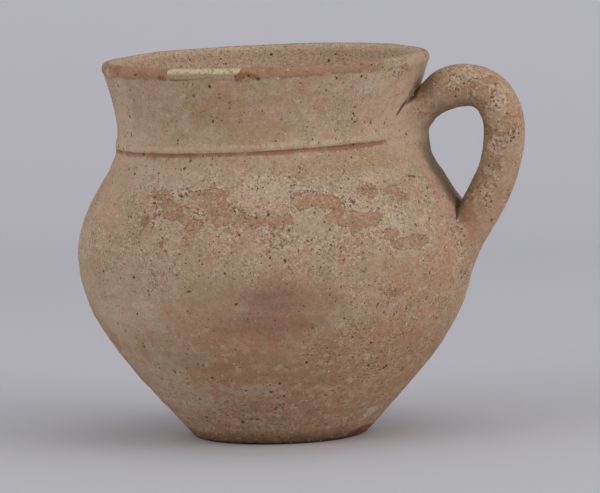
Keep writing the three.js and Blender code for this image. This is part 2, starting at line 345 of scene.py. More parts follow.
@dataclass(frozen=True)
class Outline:
    """The cup's outline as thrown, before it settled: (radius, height) from the foot up.

    The radii of the belly and the lip are read from the frame. The rest are the CAD's own
    driving sizes, under the same names. Leans are from upright. Each pull is a share of the
    span of its own curve.
    """

    foot_radius: float = 23.5
    foot_rounding: float = 1.3
    flank_lean: float = 42.0
    belly_radius: float = field(default_factory=lambda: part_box("bowl")[1].y / MM)
    belly_height: float = 51.5
    shoulder_lean: float = 17.0
    seam_radius: float = 41.7
    seam_height: float = 81.2
    bowl_wall: float = 4.5
    floor_thickness: float = 7.0
    floor_blend: float = 9.0
    foot_pull: float = 0.41
    under_belly_pull: float = 0.34
    over_belly_pull: float = 0.4
    seam_pull: float = 0.24
    bead_pull: float = 0.4
    neck_pull: float = 0.38
    lap_rise: float = 1.7
    ledge: float = 0.5
    waist_rise: float = 4.6
    waist_radius: float = 41.3
    neck_flare: float = 16.0
    rim_height: float = 104.0
    rim_radius: float = field(default_factory=lambda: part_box("neck_collar")[1].y / MM)
    lip_depth: float = 2.9
    lip_step: float = 0.4
    widest_drop: float = 1.9
    crest_inset: float = 1.7
    collar_wall: float = 4.1

    @property
    def seam(self) -> Array:
        """Where the bowl's outside ends, under the collar."""
        return np.array([self.seam_radius, self.seam_height])

    @property
    def crest(self) -> Array:
        """The top of the lip."""
        return np.array([self.rim_radius - self.crest_inset, self.rim_height])

    def lap_height(self, radius: float) -> float:
        """The height of the seam's sloping face at a radius."""
        return self.seam_height + self.lap_rise * (self.seam_radius - radius) / self.bowl_wall

    def bowl_outside(self) -> Array:
        """The foot's rounding, the flank and the shoulder, up to the seam.

        Returns:
            A quadratic round the foot's corner, a cubic to the belly and a cubic to the seam.
        """
        corner = np.array([self.foot_radius, 0.0])
        heel = leant(corner, self.flank_lean, self.foot_rounding)
        belly = np.array([self.belly_radius, self.belly_height])
        flank = np.linalg.norm(belly - heel)
        shoulder = np.linalg.norm(self.seam - belly)
        leaving = (self.flank_lean, flank * self.foot_pull)
        ending = (-self.shoulder_lean, shoulder * self.seam_pull)
        return np.concatenate([
            bezier([corner - (self.foot_rounding, 0.0), corner, heel], 40),
            stretch(heel, leaving, belly, (0.0, flank * self.under_belly_pull))[1:],
            stretch(belly, (0.0, shoulder * self.over_belly_pull), self.seam, ending)[1:],
        ])

    def bowl_inside(self) -> Array:
        """The wall drawn in by its thickness, and a quadratic that turns up from the floor.

        Returns:
            The inside from the seam down to the middle of the floor.
        """
        outside = self.bowl_outside()
        way = directions(outside)
        wall = outside + np.stack([-way[:, 1], way[:, 0]], axis=1) * self.bowl_wall
        high = wall[:, 1] > self.floor_thickness + self.floor_blend
        wall = wall[high & (wall[:, 1] < self.seam_height - self.bowl_wall)]
        lowest, way = wall[0], wall[1] - wall[0]
        turn = lowest[0] - way[0] * (lowest[1] - self.floor_thickness) / way[1]
        floor = bezier([(0.0, self.floor_thickness), (turn, self.floor_thickness), lowest], 200)
        inner = self.seam_radius - self.bowl_wall
        top = np.array([[inner, self.lap_height(inner)]])
        return np.concatenate([floor, wall[1:], top])[::-1]

    def collar_outside(self, ledge: float) -> Array:
        """The collar from the seam up to the crest.

        Args:
            ledge: How far its foot stands proud of the shoulder. At 0 the neck springs from
                the shoulder in one sweep, as where the handle's clay is smeared over it.

        Returns:
            Cubics over the foot and the neck, then a quadratic under and over the lip.
        """
        foot = self.seam + (ledge, 0.0)
        waist = np.array([self.waist_radius, self.seam_height + self.waist_rise])
        edge = np.array([self.rim_radius - self.lip_step, self.rim_height - self.lip_depth])
        widest = np.array([self.rim_radius, self.rim_height - self.widest_drop])
        bead = np.linalg.norm(waist - foot) * self.bead_pull
        neck = np.linalg.norm(edge - waist) * self.neck_pull
        lean = 0.0 if ledge else -self.shoulder_lean
        return np.concatenate([
            stretch(foot, (lean, bead), waist, (0.0, bead)),
            stretch(waist, (0.0, neck), edge, (self.neck_flare, neck))[1:],
            bezier([edge, (widest[0], edge[1]), widest], ARC_POINTS)[1:],
            bezier([widest, (widest[0], self.rim_height), self.crest], ARC_POINTS)[1:],
        ])

    def collar_inside(self) -> Array:
        """The collar from the crest down to its foot, inside."""
        lip = np.array([self.rim_radius - self.collar_wall, self.rim_height - self.lip_depth])
        waist = np.array([self.waist_radius - self.collar_wall, self.seam_height + self.waist_rise])
        neck = np.linalg.norm(lip - waist) * self.neck_pull
        inner = self.seam_radius - self.bowl_wall
        foot = np.array([[inner, self.lap_height(inner)]])
        over = bezier([self.crest, (lip[0], self.rim_height), lip], ARC_POINTS)
        down = stretch(waist, (0.0, neck), lip, (self.neck_flare, neck))[::-1]
        return np.concatenate([over, down[1:], foot])

    def wall(self) -> Wall:
        """The whole outside from foot to crest, with no ledge at the seam."""
        return Wall(np.concatenate([self.bowl_outside(), self.collar_outside(0.0)[1:]]))


class Wall:
    """The cup's outside as one surface, read by an angle and by the length up its outline."""

    def __init__(self, line: Array) -> None:
        """Keeps the outline, its running length and its outward direction.

        Args:
            line: The outline as (radius, height), from the foot up.
        """
        self.line = line
        self.run = running(line)
        way = directions(line)
        self.out = np.stack([way[:, 1], -way[:, 0]], axis=1)

    def radius_at(self, height: Array) -> Array:
        """The wall's radius at a height."""
        return np.interp(height, self.line[:, 1], self.line[:, 0])

    def point(self, angle: Array, run: Array, proud: Array) -> tuple[Array, Array]:
        """Points beside the wall.

        Args:
            angle: Round the cup, in radians.
            run: Length up the outline.
            proud: Distance out from the wall.

        Returns:
            The foot of each on the wall, and the point itself.
        """
        radius, height = (np.interp(run, self.run, self.line[:, k]) for k in (0, 1))
        out_r, out_z = (np.interp(run, self.run, self.out[:, k]) for k in (0, 1))
        foot = spun(radius, angle, height)
        return foot, spun(radius + proud * out_r, angle, height + proud * out_z)

    def nearest(self, points: Array) -> tuple[Array, Array, Array]:
        """Where points lie beside the wall, by the nearest place of the outline.

        Args:
            points: Places outside the wall, one to a row.

        Returns:
            The angle in radians, the length up the outline and the distance from it.
        """
        flat = np.stack([np.hypot(points[:, 0], points[:, 1]), points[:, 2]], axis=1)
        gaps = np.linalg.norm(flat[:, None, :] - self.line[None, :, :], axis=2)
        best = gaps.argmin(axis=1)
        return np.arctan2(points[:, 1], points[:, 0]), self.run[best], gaps.min(axis=1)


@dataclass(frozen=True)
class Settling:
    """How the wet clay settled, which left the neck a little askew.

    Attributes:
        stiff_height: Below this the bowl did not tilt.
        slide_height: Below this it did not slide sideways.
        seam_tilt: Of the seam, up towards the handle.
        rim_tilt: Of the rim.
        rim_shift: Of the rim, away from the handle.
    """

    stiff_height: float = 40.0
    slide_height: float = 55.0
    seam_tilt: float = 1.8
    rim_tilt: float = 0.7
    rim_shift: float = 1.5

    def moved(self, points: Array, outline: Outline) -> Array:
        """Points after the clay settled: each level is tilted and slid as a whole.

        Args:
            points: Places on the cup as thrown.
            outline: Gives the heights of the seam and the rim.

        Returns:
            The places that they came to.
        """
        x, y, z = points[..., 0], points[..., 1], points[..., 2]
        neck = (z - outline.seam_height) / (outline.rim_height - outline.seam_height)
        leaning = self.seam_tilt * ramp(z, self.stiff_height, outline.seam_height)
        tilt = np.radians(blend(leaning, self.rim_tilt, np.clip(neck, 0.0, 1.0)))
        slid = self.rim_shift * ramp(z, self.slide_height, outline.rim_height)
        return np.stack([x - slid, y, z + x * np.tan(tilt)], axis=-1)


# Marks of making and wear


@dataclass(frozen=True)
class Patch:
    """An oval place on the wall.

    Attributes:
        angle: Of its middle, round the cup.
        height: Of its middle.
        width: Round the wall.
        rise: Up the wall.
    """

    angle: float
    height: float
    width: float
    rise: float

    def reach(self, points: Array) -> Array:
        """1 in its middle, 0 at its edge and less beyond: 1 less the oval's own distance."""
        turned = np.radians(turned_from(self.angle, points))
        across = turned * np.hypot(points[..., 0], points[..., 1]) / (self.width / 2.0)
        return 1.0 - np.hypot(across, (points[..., 2] - self.height) / (self.rise / 2.0))


@dataclass(frozen=True)
class Spot:
    """A round place on the handle as rolled: its middle and its radius."""

    x: float
    y: float
    z: float
    radius: float

    def reach(self, points: Array) -> Array:
        """1 in its middle, 0 at its edge and less beyond."""
        return 1.0 - np.linalg.norm(points - (self.x, self.y, self.z), axis=-1) / self.radius


@dataclass(frozen=True)
class Crease:
    """A line pressed where the handle meets the wall, as rolled.

    Attributes:
        line: Its points, each with the reach of its sides there: (x, y, z, radius).
    """

    line: tuple[tuple[float, float, float, float], ...]

    def reach(self, points: Array) -> Array:
        """1 on the line, 0 at its sides and less beyond: 1 less the distance over the radius."""
        best = np.full(points.shape[:-1], -9.0)
        for start, end in zip(np.array(self.line), np.array(self.line)[1:]):
            step = end[:3] - start[:3]
            along = np.clip((points - start[:3]) @ step / (step @ step), 0.0, 1.0)
            gap = np.linalg.norm(points - start[:3] - along[..., None] * step, axis=-1)
            best = np.maximum(best, 1.0 - gap / blend(start[3], end[3], along))
        return best


def each(kind: type[Patch] | type[Spot], *rows: tuple[float, ...]) -> tuple[Patch | Spot, ...]:
    """One place for each row of its values, in the order in which its kind names them."""
    return tuple(kind(*row) for row in rows)


def furthest(places: tuple[Patch | Spot | Crease, ...], points: Array) -> Array:
    """The reach of whichever place reaches furthest, at each point."""
    return np.max([place.reach(points) for place in places], axis=0)


# Where the slip has flaked off the shoulder
FLAKED = each(
    Patch, (-114.3, 70.6, 6.2, 3.1), (-109.1, 68.0, 7.2, 2.3), (-107.3, 66.0, 8.9, 3.4),
    (-102.0, 64.7, 5.4, 3.6), (-99.3, 62.4, 4.7, 3.4), (-96.1, 70.5, 11.0, 3.6),
    (-93.6, 68.0, 7.9, 3.1), (-90.3, 64.6, 11.7, 4.1), (-78.4, 63.8, 12.3, 2.5),
    (-70.7, 63.7, 2.4, 3.0), (-74.4, 61.1, 3.5, 3.6), (-102.0, 58.4, 2.1, 2.4),
    (-64.7, 68.4, 8.3, 4.0), (-56.9, 67.5, 7.2, 4.0), (-54.7, 63.8, 7.0, 4.4),
    (-46.9, 62.3, 13.2, 3.9), (-51.0, 59.3, 3.2, 3.5), (-41.2, 58.3, 8.4, 2.7),
    (-32.3, 55.1, 12.7, 3.5), (-44.0, 69.7, 4.6, 2.2), (-41.3, 68.6, 3.4, 2.0),
    (-34.0, 68.8, 5.0, 2.0), (-31.2, 67.4, 4.0, 1.8),
)
# Thick pale crust, and the slip that is kept among the flaked places
CRUSTED = each(
    Patch, (-98.8, 65.5, 3.8, 3.3), (-106.6, 71.6, 6.4, 3.8), (-113.8, 65.1, 2.5, 6.2),
    (-50.7, 67.1, 4.3, 3.4),
)
KEPT = CRUSTED + each(
    Patch, (-100.4, 68.0, 3.6, 2.6), (-107.5, 62.8, 4.5, 2.3), (-45.0, 58.6, 6.8, 3.0),
)
# Thin scale, and where it covers the rubbed lip
LIP_SCALE = Patch(-147.0, 101.0, 5.0, 6.0)
SCALY = each(
    Patch, (-75.5, 58.5, 12.0, 8.0), (-66.0, 71.0, 8.0, 4.0), (-103.0, 100.0, 5.0, 3.0),
    (-84.0, 101.5, 6.0, 3.0), (-20.0, 101.0, 10.0, 7.0),
) + (LIP_SCALE,)
# Slip worn thin beside the flaked places
THINNED = each(
    Patch, (-42.5, 69.3, 9.0, 5.0), (-32.8, 68.0, 11.0, 5.0), (-109.5, 58.3, 2.0, 4.2),
    (-117.6, 63.4, 3.7, 5.8),
)
# Yellower slip
OCHRE = each(
    Patch, (-77.0, 86.5, 26.0, 11.0), (-94.5, 92.5, 22.0, 13.0), (-95.5, 43.0, 20.0, 13.0),
    (-87.5, 15.3, 14.0, 7.0), (-119.5, 59.4, 7.2, 3.2), (-116.7, 23.9, 21.0, 22.0),
    (-113.0, 101.5, 4.0, 2.2), (-82.0, 101.5, 7.0, 3.0), (-50.0, 76.5, 50.0, 8.0),
)
# Paler slip
PALE = each(
    Patch, (-78.0, 70.9, 16.0, 11.4), (-35.7, 61.4, 8.0, 5.0), (-88.0, 16.6, 20.0, 4.6),
    (-147.0, 102.0, 4.0, 5.0), (-130.0, 36.0, 40.0, 20.0), (-120.0, 74.0, 26.0, 9.0),
    (-128.0, 20.0, 38.0, 38.0), (-145.0, 91.0, 24.0, 26.0), (-152.0, 57.0, 26.0, 32.0),
    (-36.0, 96.5, 12.0, 7.0),
)
# Spots of lime
LIMED = each(Patch, (-33.0, 102.8, 1.5, 1.1), (-22.8, 102.2, 0.9, 1.4), (-20.4, 7.6, 7.0, 4.0))
# Smoky blushes from the kiln, the last of them on the back
BLUSHED = each(
    Patch, (-73.0, 43.2, 26.0, 12.0), (-77.0, 36.5, 30.0, 9.0), (-40.0, 42.8, 7.0, 3.0),
    (70.0, 43.0, 40.0, 18.0),
)
# Pinker clay that shows through thin slip
SALMON = each(
    Patch, (-22.0, 45.0, 50.0, 30.0), (-34.0, 32.0, 38.0, 14.0), (-82.0, 32.5, 36.0, 9.0),
    (-150.0, 62.0, 26.0, 22.0), (150.0, 50.0, 60.0, 26.0),
)
# Smooth places, wiped by the potter's hand
SMEARED = each(Patch, (0.0, 86.0, 62.0, 40.0), (-140.0, 80.0, 28.0, 44.0))
# The wash round the plaster fill
FILL_WASH = Patch(-97.3, 101.2, 25.0, 5.0)
# The open edges of the handle's two roots, darkened with soiling and painted shade
CREVICES = (
    Crease((
        (43.8, -2.6, 94.7, 1.2), (43.2, -4.4, 93.7, 1.6), (42.5, -6.1, 92.3, 1.6),
        (41.4, -8.4, 90.7, 1.2), (40.2, -10.6, 89.2, 0.8), (39.4, -12.4, 87.6, 0.4),
    )),
    Crease((
        (52.0, 2.5, 63.3, 1.9), (52.3, -1.5, 62.2, 1.9), (52.3, -4.0, 61.2, 1.5),
        (52.5, -5.6, 60.2, 1.1), (52.6, -6.9, 58.8, 0.6),
    )),
)
# Soiling and painted shade inside the handle's loop: on the wall, and on the rod's top by the neck
SHADED = Patch(9.0, 68.0, 34.0, 42.0)
ROD_SHADED = Spot(45.8, -4.6, 95.6, 6.5)
# Where a thumb pressed the wall in
THUMBED = Patch(13.0, 69.3, 50.0, 18.0)
# The bruise on the foot's edge
BRUISED = Patch(-10.5, 0.4, 14.0, 5.4)
# Where the flank is flatter than it was thrown
FLAT_FLANK = Patch(-165.0, 18.0, 80.0, 44.0)
# The large pits
DEEP_PITS = each(
    Patch, (-86.7, 41.8, 1.5, 0.9), (-83.1, 39.2, 1.2, 0.9), (-101.6, 39.1, 1.3, 1.0),
    (-100.9, 45.0, 2.2, 1.1), (-116.6, 21.5, 1.8, 1.5), (-128.4, 18.5, 1.4, 1.6),
    (-95.0, 6.9, 1.6, 1.5), (-89.6, 7.9, 1.9, 0.9), (-131.1, 32.6, 1.6, 1.4),
    (-140.2, 43.6, 1.3, 1.2), (-32.9, 86.7, 1.0, 1.8), (-126.3, 102.2, 2.4, 0.8),
    (-80.5, 101.9, 1.5, 1.2), (-77.4, 100.9, 2.0, 1.4), (-24.5, 54.3, 3.2, 1.0),
)
# The handle's own marks
ROD_BARE = each(
    Spot, (64.3, -4.0, 96.2, 2.2), (63.0, -6.1, 74.1, 2.6), (60.1, -6.2, 67.0, 1.6),
    (67.5, -4.5, 84.5, 2.2),
)
ROD_CRUST = each(
    Spot, (55.0, -6.2, 96.1, 2.4), (59.9, -5.4, 97.3, 1.7), (57.3, -3.5, 99.5, 1.6),
    (65.3, -5.4, 93.4, 2.0), (67.0, -5.4, 90.5, 1.8), (66.0, -6.2, 88.9, 2.2),
    (64.7, -6.3, 78.0, 2.6), (69.8, -4.5, 80.6, 1.0), (60.9, -6.4, 65.2, 2.2),
)
ROD_PITS = each(
    Spot, (57.0, -6.3, 95.6, 0.7), (64.5, -6.3, 91.3, 0.6), (65.0, -6.3, 90.1, 0.6),
    (65.5, -6.3, 88.9, 0.6), (70.4, -3.5, 80.5, 0.7), (69.5, -4.7, 79.6, 0.7),
    (68.7, -5.3, 78.6, 0.6),
)


@dataclass(frozen=True)
class Wear:
    """What throwing, use and burial did to the cup's outside.

    Each reading gives amounts from 0 to 1 that the material takes its colours from, and
    the relief is worked out from the same amounts, so that colour and shape agree. Some of
    the amounts are painted light: the shade inside the handle's loop and in its crevices, the
    contact shade under the foot, the lighter inside, and the pale highlight over the seam's ledge.

    Attributes:
        outline: The thrown form.
        ledge_fade: How far from the handle, round the cup, its smeared clay hides the seam.
        ledge_full: Where the seam's ledge is whole again.
        front: The angle round the cup at which the placed marks are centred.
        slip_depth: Thickness of the slip that has flaked off.
        slow_lump: Height of the broad unevenness that the potter's hands left.
        ridge: Height of the wheel's ridges.
        pit_depth: Of the pits.
        groove: Depth of the bare line under the seam.
        bruise_depth: Of the bruise on the foot's edge.
        flat_depth: How far the flank away from the handle lies behind the outline.
        thumb_depth: How far a thumb pressed the wall in, inside the handle's loop.
    """

    outline: Outline
    ledge_fade: float = 23.0
    ledge_full: float = 31.0
    front: float = -75.0
    slip_depth: float = 0.24
    slow_lump: float = 0.28
    ridge: float = 0.11
    pit_depth: float = 0.5
    groove: float = 0.06
    bruise_depth: float = 1.3
    flat_depth: float = 0.3
    thumb_depth: float = 0.9

    def seam_open(self, points: Array) -> Array:
        """1 where the seam and its ledge show, and 0 where the handle's clay covers them."""
        return ramp(np.abs(bearing(points)), self.ledge_fade, self.ledge_full)

    def away(self, points: Array, start: float, stop: float) -> Array:
        """0 up to one angle away from the front, and 1 from another on."""
        return ramp(np.abs(turned_from(self.front, points)), start, stop)

    def flaking(self, points: Array) -> Array:
        """How far past its edge the slip has flaked: over 0 the clay is bare.

        At the front the places are set. Round the rest the same kind of wear is strewn
        along the shoulder, where cups rub against each other.
        """
        flat = points * np.array([0.75, 0.75, 1.6])
        band = ramp(points[..., 2], 52.0, 61.0) * ramp(points[..., 2], 77.0, 71.0)
        strewn = Cloud(9.0, 41, 2).at(flat) * 1.3 - 0.42 - 1.2 * (1.0 - band)
        placed = np.maximum(furthest(FLAKED, points), -1.5)
        placed = np.minimum(placed, -1.3 * furthest(KEPT, points))
        lobes = 0.42 * Cloud(3.4, 42, 3).at(points)
        return blend(placed, strewn, self.away(points, 82.0, 98.0)) + lobes

    def crustiness(self, points: Array) -> Array:
        """How crusty the skin is: most on the shoulder and to the right, least where smeared."""
        angle, height = bearing(points), points[..., 2]
        drift = Cloud(13.0, 56, 2).at(points)
        shoulder = ramp(height + 7.0 * drift, 42.0, 56.0)
        shoulder = shoulder * (1.0 - 0.6 * ramp(height + 4.0 * drift, 72.0, 78.0))
        shoulder = shoulder * ramp(height, 82.5, 79.0)
        turned = ramp(angle + 14.0 * drift, -70.0, -42.0)
        flank = 0.8 * turned * ramp(height + 7.0 * drift, 10.0, 24.0) * ramp(height, 60.0, 50.0)
        neck = (0.15 + 0.4 * turned) * ramp(height, 79.0, 82.5)
        low = 0.5 * ramp(height + 5.0 * drift, 24.0, 12.0)
        patchy = np.clip(0.72 + 0.9 * Cloud(6.0, 57, 2).at(points), 0.15, 1.2)
        crusty = np.max([shoulder, flank, neck, low], axis=0) * patchy
        return crusty * (1.0 - 0.9 * ramp(furthest(SMEARED, points), 0.0, 0.35))

    def read(self, points: Array, outside: Array | float = 1.0) -> dict[str, Array]:
        """Reads every amount at places on the wall as thrown.

        Args:
            points: The places.
            outside: 1 on the outside of the wall, down to 0 inside it.

        Returns:
            The amounts by the names that the material knows, and the grain: places in a
            space where the wheel's long level streaks are round lumps of size 1.
        """
        angle, height = bearing(points), points[..., 2]
        crumble = Cloud(2.4, 51, 2).at(points)
        soft = Cloud(11.0, 52, 2).at(points)
        under_seam = self.outline.seam_height - 0.5 - height
        half = 0.62 + 0.3 * Cloud(6.0, 53, 2).at(points)
        seam = self.seam_open(points) * ramp(np.abs(under_seam), half + 0.4, half - 0.3)
        above_seam = np.abs(height - self.outline.seam_height - 1.4)
        lip_edge = self.outline.rim_height - self.outline.lip_depth + 0.7 * crumble + 0.5 * soft
        rubbed = ramp(height, lip_edge - 0.3, lip_edge + 0.3) * ramp(angle + 9.0 * soft, -12.0, -34.0)
        crest = ramp(height + crumble, lip_edge + 0.2, lip_edge + 0.9)
        rubbed = np.maximum(rubbed, self.away(points, 70.0, 95.0) * crest)
        placed = {
            "worn": 0.5 + 0.5 * np.clip(self.flaking(points), -1.0, 1.0),
            "thin": ramp(furthest(THINNED, points) + 0.35 * soft + 0.7 * crumble, -0.4, 0.9),
            "crust": ramp(furthest(CRUSTED, points) + 0.4 * crumble, -0.3, 0.2),
            "scale": ramp(furthest(SCALY, points) + 0.5 * crumble, -0.2, 0.5),
            "blush": ramp(furthest(BLUSHED, points) + 0.3 * soft, -0.75, 0.85),
            "ochre": ramp(furthest(OCHRE, points) + 0.4 * soft, -0.3, 0.6),
            "pale": ramp(furthest(PALE, points) + 0.5 * soft, -0.5, 1.1),
            "seam": seam * (0.85 + 0.5 * Cloud(9.0, 54, 2).at(points)),
            # crest: a painted highlight, a pale line along the top of the seam's ledge
            "crest": 0.6 * self.seam_open(points) * ramp(above_seam, 1.0, 0.3),
            "rubbed": rubbed * ramp(furthest((FILL_WASH, LIP_SCALE), points), 0.35, 0.0),
            "pit": self.pits(points),
            "bruise": self.bruise(points)[1],
            "rough": self.crustiness(points),
            # Darker inside the handle's loop: soiling and painted shade from the handle
            "grime_and_shade": ramp(SHADED.reach(points) + 0.2 * soft, 0.0, 0.6),
            "lime": ramp(furthest(LIMED, points) + 0.4 * crumble, -0.1, 0.4),
            "foot": ramp(height, 6.6 + crumble, 0.0),
            # tread: painted contact shade, a dark line along the foot's lowest edge
            "tread": ramp(height + 0.3 * crumble, 1.1, 0.4),
        }
        marks = {name: values * outside for name, values in placed.items()}
        # A pale cloudy coat inside the bowl: partly lime, partly painted light that lifts the shaded
        # inside
        film_and_light = ramp(Cloud(8.0, 55, 3).at(points), -0.6, 0.4) * ramp(height, 80.0, 50.0)
        marks["lime"] = np.maximum(marks["lime"], 0.8 * film_and_light * (1.0 - outside))
        mouth = 0.6 * (1.0 - outside) * ramp(height, 92.0, 99.0)
        marks["rough"] = np.maximum(marks["rough"], mouth)
        marks["salmon"] = ramp(furthest(SALMON, points) + 0.3 * soft, -0.2, 0.7)
        marks["warm"] = ramp(height + 6.0 * soft, 48.0, 20.0)
        smeared = 0.6 * ramp(furthest(SMEARED, points) + 0.3 * soft, 0.0, 0.5)
        # Lighter all over the inside, as painted light that lifts its shade, and on the places that
        # the potter wiped smooth
        marks["clean_and_lit"] = np.maximum(1.0 - outside, smeared)
        # Darker in the crevices at the handle's roots: soiling and painted shade
        marks["soil_and_shade"] = ramp(furthest(CREVICES, points) + 0.2 * crumble, 0.0, 0.8)
        marks["grain"] = points / np.array([26.0, 26.0, 1.5])
        return marks

    def pits(self, points: Array) -> Array:
        """1 in the middle of each pit that grit or straw left in the clay, 0 beyond its edge."""
        shape = points + 0.3 * Cloud(1.1, 61, 1).at(points)[..., None]
        large, small = Strewn(5.2, 0.95, 0.3, 62).at(shape), Strewn(3.1, 0.6, 0.25, 63).at(shape)
        placed = 1.3 * furthest(DEEP_PITS, points)
        return np.clip(np.max([large, small, placed], axis=0), 0.0, 1.0)

    def bruise(self, points: Array) -> tuple[Array, Array]:
        """The hollow knocked out of the foot's edge.

        Returns:
            Its depth, and 1 on its broken face.
        """
        knock = BRUISED.reach(points) + 0.1 * Cloud(2.0, 64, 2).at(points)
        return self.bruise_depth * np.sqrt(np.clip(knock, 0.0, 1.0)), ramp(knock, 0.02, 0.1)

    def relief(self, points: Array, marks: Mapping[str, Array]) -> Array:
        """How far the outside stands proud of its outline.

        It is the sum of broad lumps, wheel ridges, finger-wide waves and grain, less the
        flaked slip, the pits, the seam's groove, the bruise, the flatter flank on the left
        and the thumb's hollow, plus the crust.
        """
        bare = ramp(marks["worn"], 0.47, 0.53)
        ridges = Cloud(1.0, 71, 2).at(marks["grain"]) * self.ridge
        ridges = ridges * (0.6 + 0.4 * ramp(points[..., 2], 60.0, 40.0))
        waves = 0.09 * Cloud(8.0, 72, 2).at(points) + 0.05 * Cloud(2.3, 73, 2).at(points)
        lumps = self.slow_lump * Cloud(30.0, 74, 2).at(points)
        crusty = np.maximum(marks["crust"], 0.6 * marks["scale"])
        crust = crusty * (0.2 + 0.25 * Cloud(1.5, 75, 2).at(points)) * (1.0 - 0.7 * bare)
        hollows = self.pit_depth * marks["pit"] + self.groove * marks["seam"]
        hollows = hollows + self.bruise(points)[0]
        hollows = hollows + self.flat_depth * ramp(FLAT_FLANK.reach(points), 0.0, 0.6)
        hollows = hollows + self.thumb_depth * ramp(THUMBED.reach(points), 0.0, 0.6)
        return lumps + ridges + waves + crust - self.slip_depth * bare - hollows


# Finishes


def linear(shade: str) -> tuple[float, float, float, float]:
    """An sRGB hex colour, such as "#A38D76", as linear red, green, blue and full alpha."""
    parts = [int(shade[k : k + 2], 16) / 255.0 for k in (1, 3, 5)]
    return tuple(c / 12.92 if c <= 0.04045 else ((c + 0.055) / 1.055) ** 2.4 for c in parts) + (1.0,)


Socket = bpy.types.NodeSocket
Tree = bpy.types.NodeTree
Inputs = Mapping[str | int, object]


def node(
    tree: Tree, kind: str, inputs: Inputs | None = None, output: str = "", **settings: object
) -> Socket:
    """Adds a node with its settings and links.

    Args:
        tree: The tree to add to.
        kind: The node's class, without the ShaderNode that it begins with.
        inputs: For each input, by name or place, a socket to link or a value to set.
        output: The name of the output to return.
        settings: The node's own settings.

    Returns:
        The named output, else the first in use, or the first input of a node without outputs.
    """
    made = tree.nodes.new(f"ShaderNode{kind}")
    for setting, value in settings.items():
        setattr(made, setting, value)
    for key, value in (inputs or {}).items():
        usable = [s for s in made.inputs if s.enabled]
        socket = usable[key] if isinstance(key, int) else next(s for s in usable if s.name == key)
        if isinstance(value, Socket):
            tree.links.new(value, socket)
        else:
            socket.default_value = linear(value) if isinstance(value, str) else value
    if output:
        return made.outputs[output]
    return next((s for s in made.outputs if s.enabled), made.inputs[0] if made.inputs else None)


def blank_material(name: str) -> tuple[bpy.types.Material, Tree]:
    """A new material with an empty tree."""
    material = bpy.data.materials.new(name)
    material.use_nodes = True
    material.node_tree.nodes.clear()
    return material, material.node_tree


def in_millimetres(tree: Tree) -> Socket:
    """The place on the piece, in millimetres."""
    place = node(tree, "TexCoord", output="Object")
    return node(tree, "Mapping", {"Vector": place, "Scale": (1.0 / MM,) * 3}, vector_type="POINT")


@dataclass(frozen=True)
class Share:
    """How much of the clay something covers: a smooth step of an amount, with a frayed edge.

    Attributes:
        amount: The mark, the noise or the other share that it follows.
        start: The amount at which it begins.
        stop: The amount at which it is full; it may lie below start.
        top: How much it covers where it is full.
        frayed: Noises that are added to the amount, each with its strength.
        within: Another share that it keeps inside.
    """

    amount: str
    start: float
    stop: float
    top: float = 1.0
    frayed: tuple[tuple[str, float], ...] = ()
    within: str = ""

    def socket(self, tree: Tree, known: Mapping[str, Socket]) -> Socket:
        """Adds the share to a tree.

        Args:
            tree: The material's tree.
            known: The marks, noises and shares that the tree already has.

        Returns:
            The share, from 0 to its top.
        """
        value = known[self.amount]
        for name, strength in self.frayed:
            inputs = {0: known[name], 1: strength, 2: value}
            value = node(tree, "Math", inputs, operation="MULTIPLY_ADD")
        middle = sum(strength for _, strength in self.frayed) / 2.0
        inputs = {"Value": value, "To Max": self.top}
        inputs |= {"From Min": self.start + middle, "From Max": self.stop + middle}
        share = node(tree, "MapRange", inputs, interpolation_type="SMOOTHSTEP")
        if self.within:
            inputs = {0: share, 1: known[self.within]}
            share = node(tree, "Math", inputs, operation="MULTIPLY")
        return share


@dataclass(frozen=True)
class Fleck:
    """Small spots strewn over a surface: pores, grit or lime.

    Attributes:
        spacing: From one place where a spot may lie to the next.
        radius: Of a large spot.
        share: Of the places that hold one, on a smooth face.
        rough_share: Of the places that hold one, where the face is crusty.
        colour: Of the spot.
        height: How far it stands proud; below 0 it is a hollow.
    """

    spacing: float
    radius: float
    share: float
    rough_share: float
    colour: str
    height: float

    def mask(self, tree: Tree, place: Socket, rough: Socket) -> Socket:
        """1 on a spot and 0 beside it: near a cell's middle, in the cells that hold one.

        Args:
            tree: The material's tree.
            place: The place in millimetres.
            rough: How crusty the face is.

        Returns:
            The mask.
        """
        scale = 1.0 / self.spacing
        near = node(tree, "TexVoronoi", {"Vector": place, "Scale": scale, "Randomness": 1.0})
        draw = node(tree, "SeparateColor", {0: near.node.outputs["Color"]}).node.outputs
        inputs = {"Value": rough, "To Min": self.share, "To Max": self.rough_share}
        share = node(tree, "MapRange", inputs)
        chosen = node(tree, "Math", {0: draw[0], 1: share}, operation="LESS_THAN")
        size = node(tree, "MapRange", {"Value": draw[1], "To Min": 0.4, "To Max": 1.0})
        edge = node(tree, "Math", {0: size, 1: self.radius * scale}, operation="MULTIPLY")
        inner = node(tree, "Math", {0: edge, 1: 0.55}, operation="MULTIPLY")
        bounds = {"Value": near, "From Min": edge, "From Max": inner}
        spot = node(tree, "MapRange", bounds, interpolation_type="SMOOTHSTEP")
        return node(tree, "Math", {0: spot, 1: chosen}, operation="MULTIPLY")


RAGGED = (("small", 0.24), ("fine", 0.16))


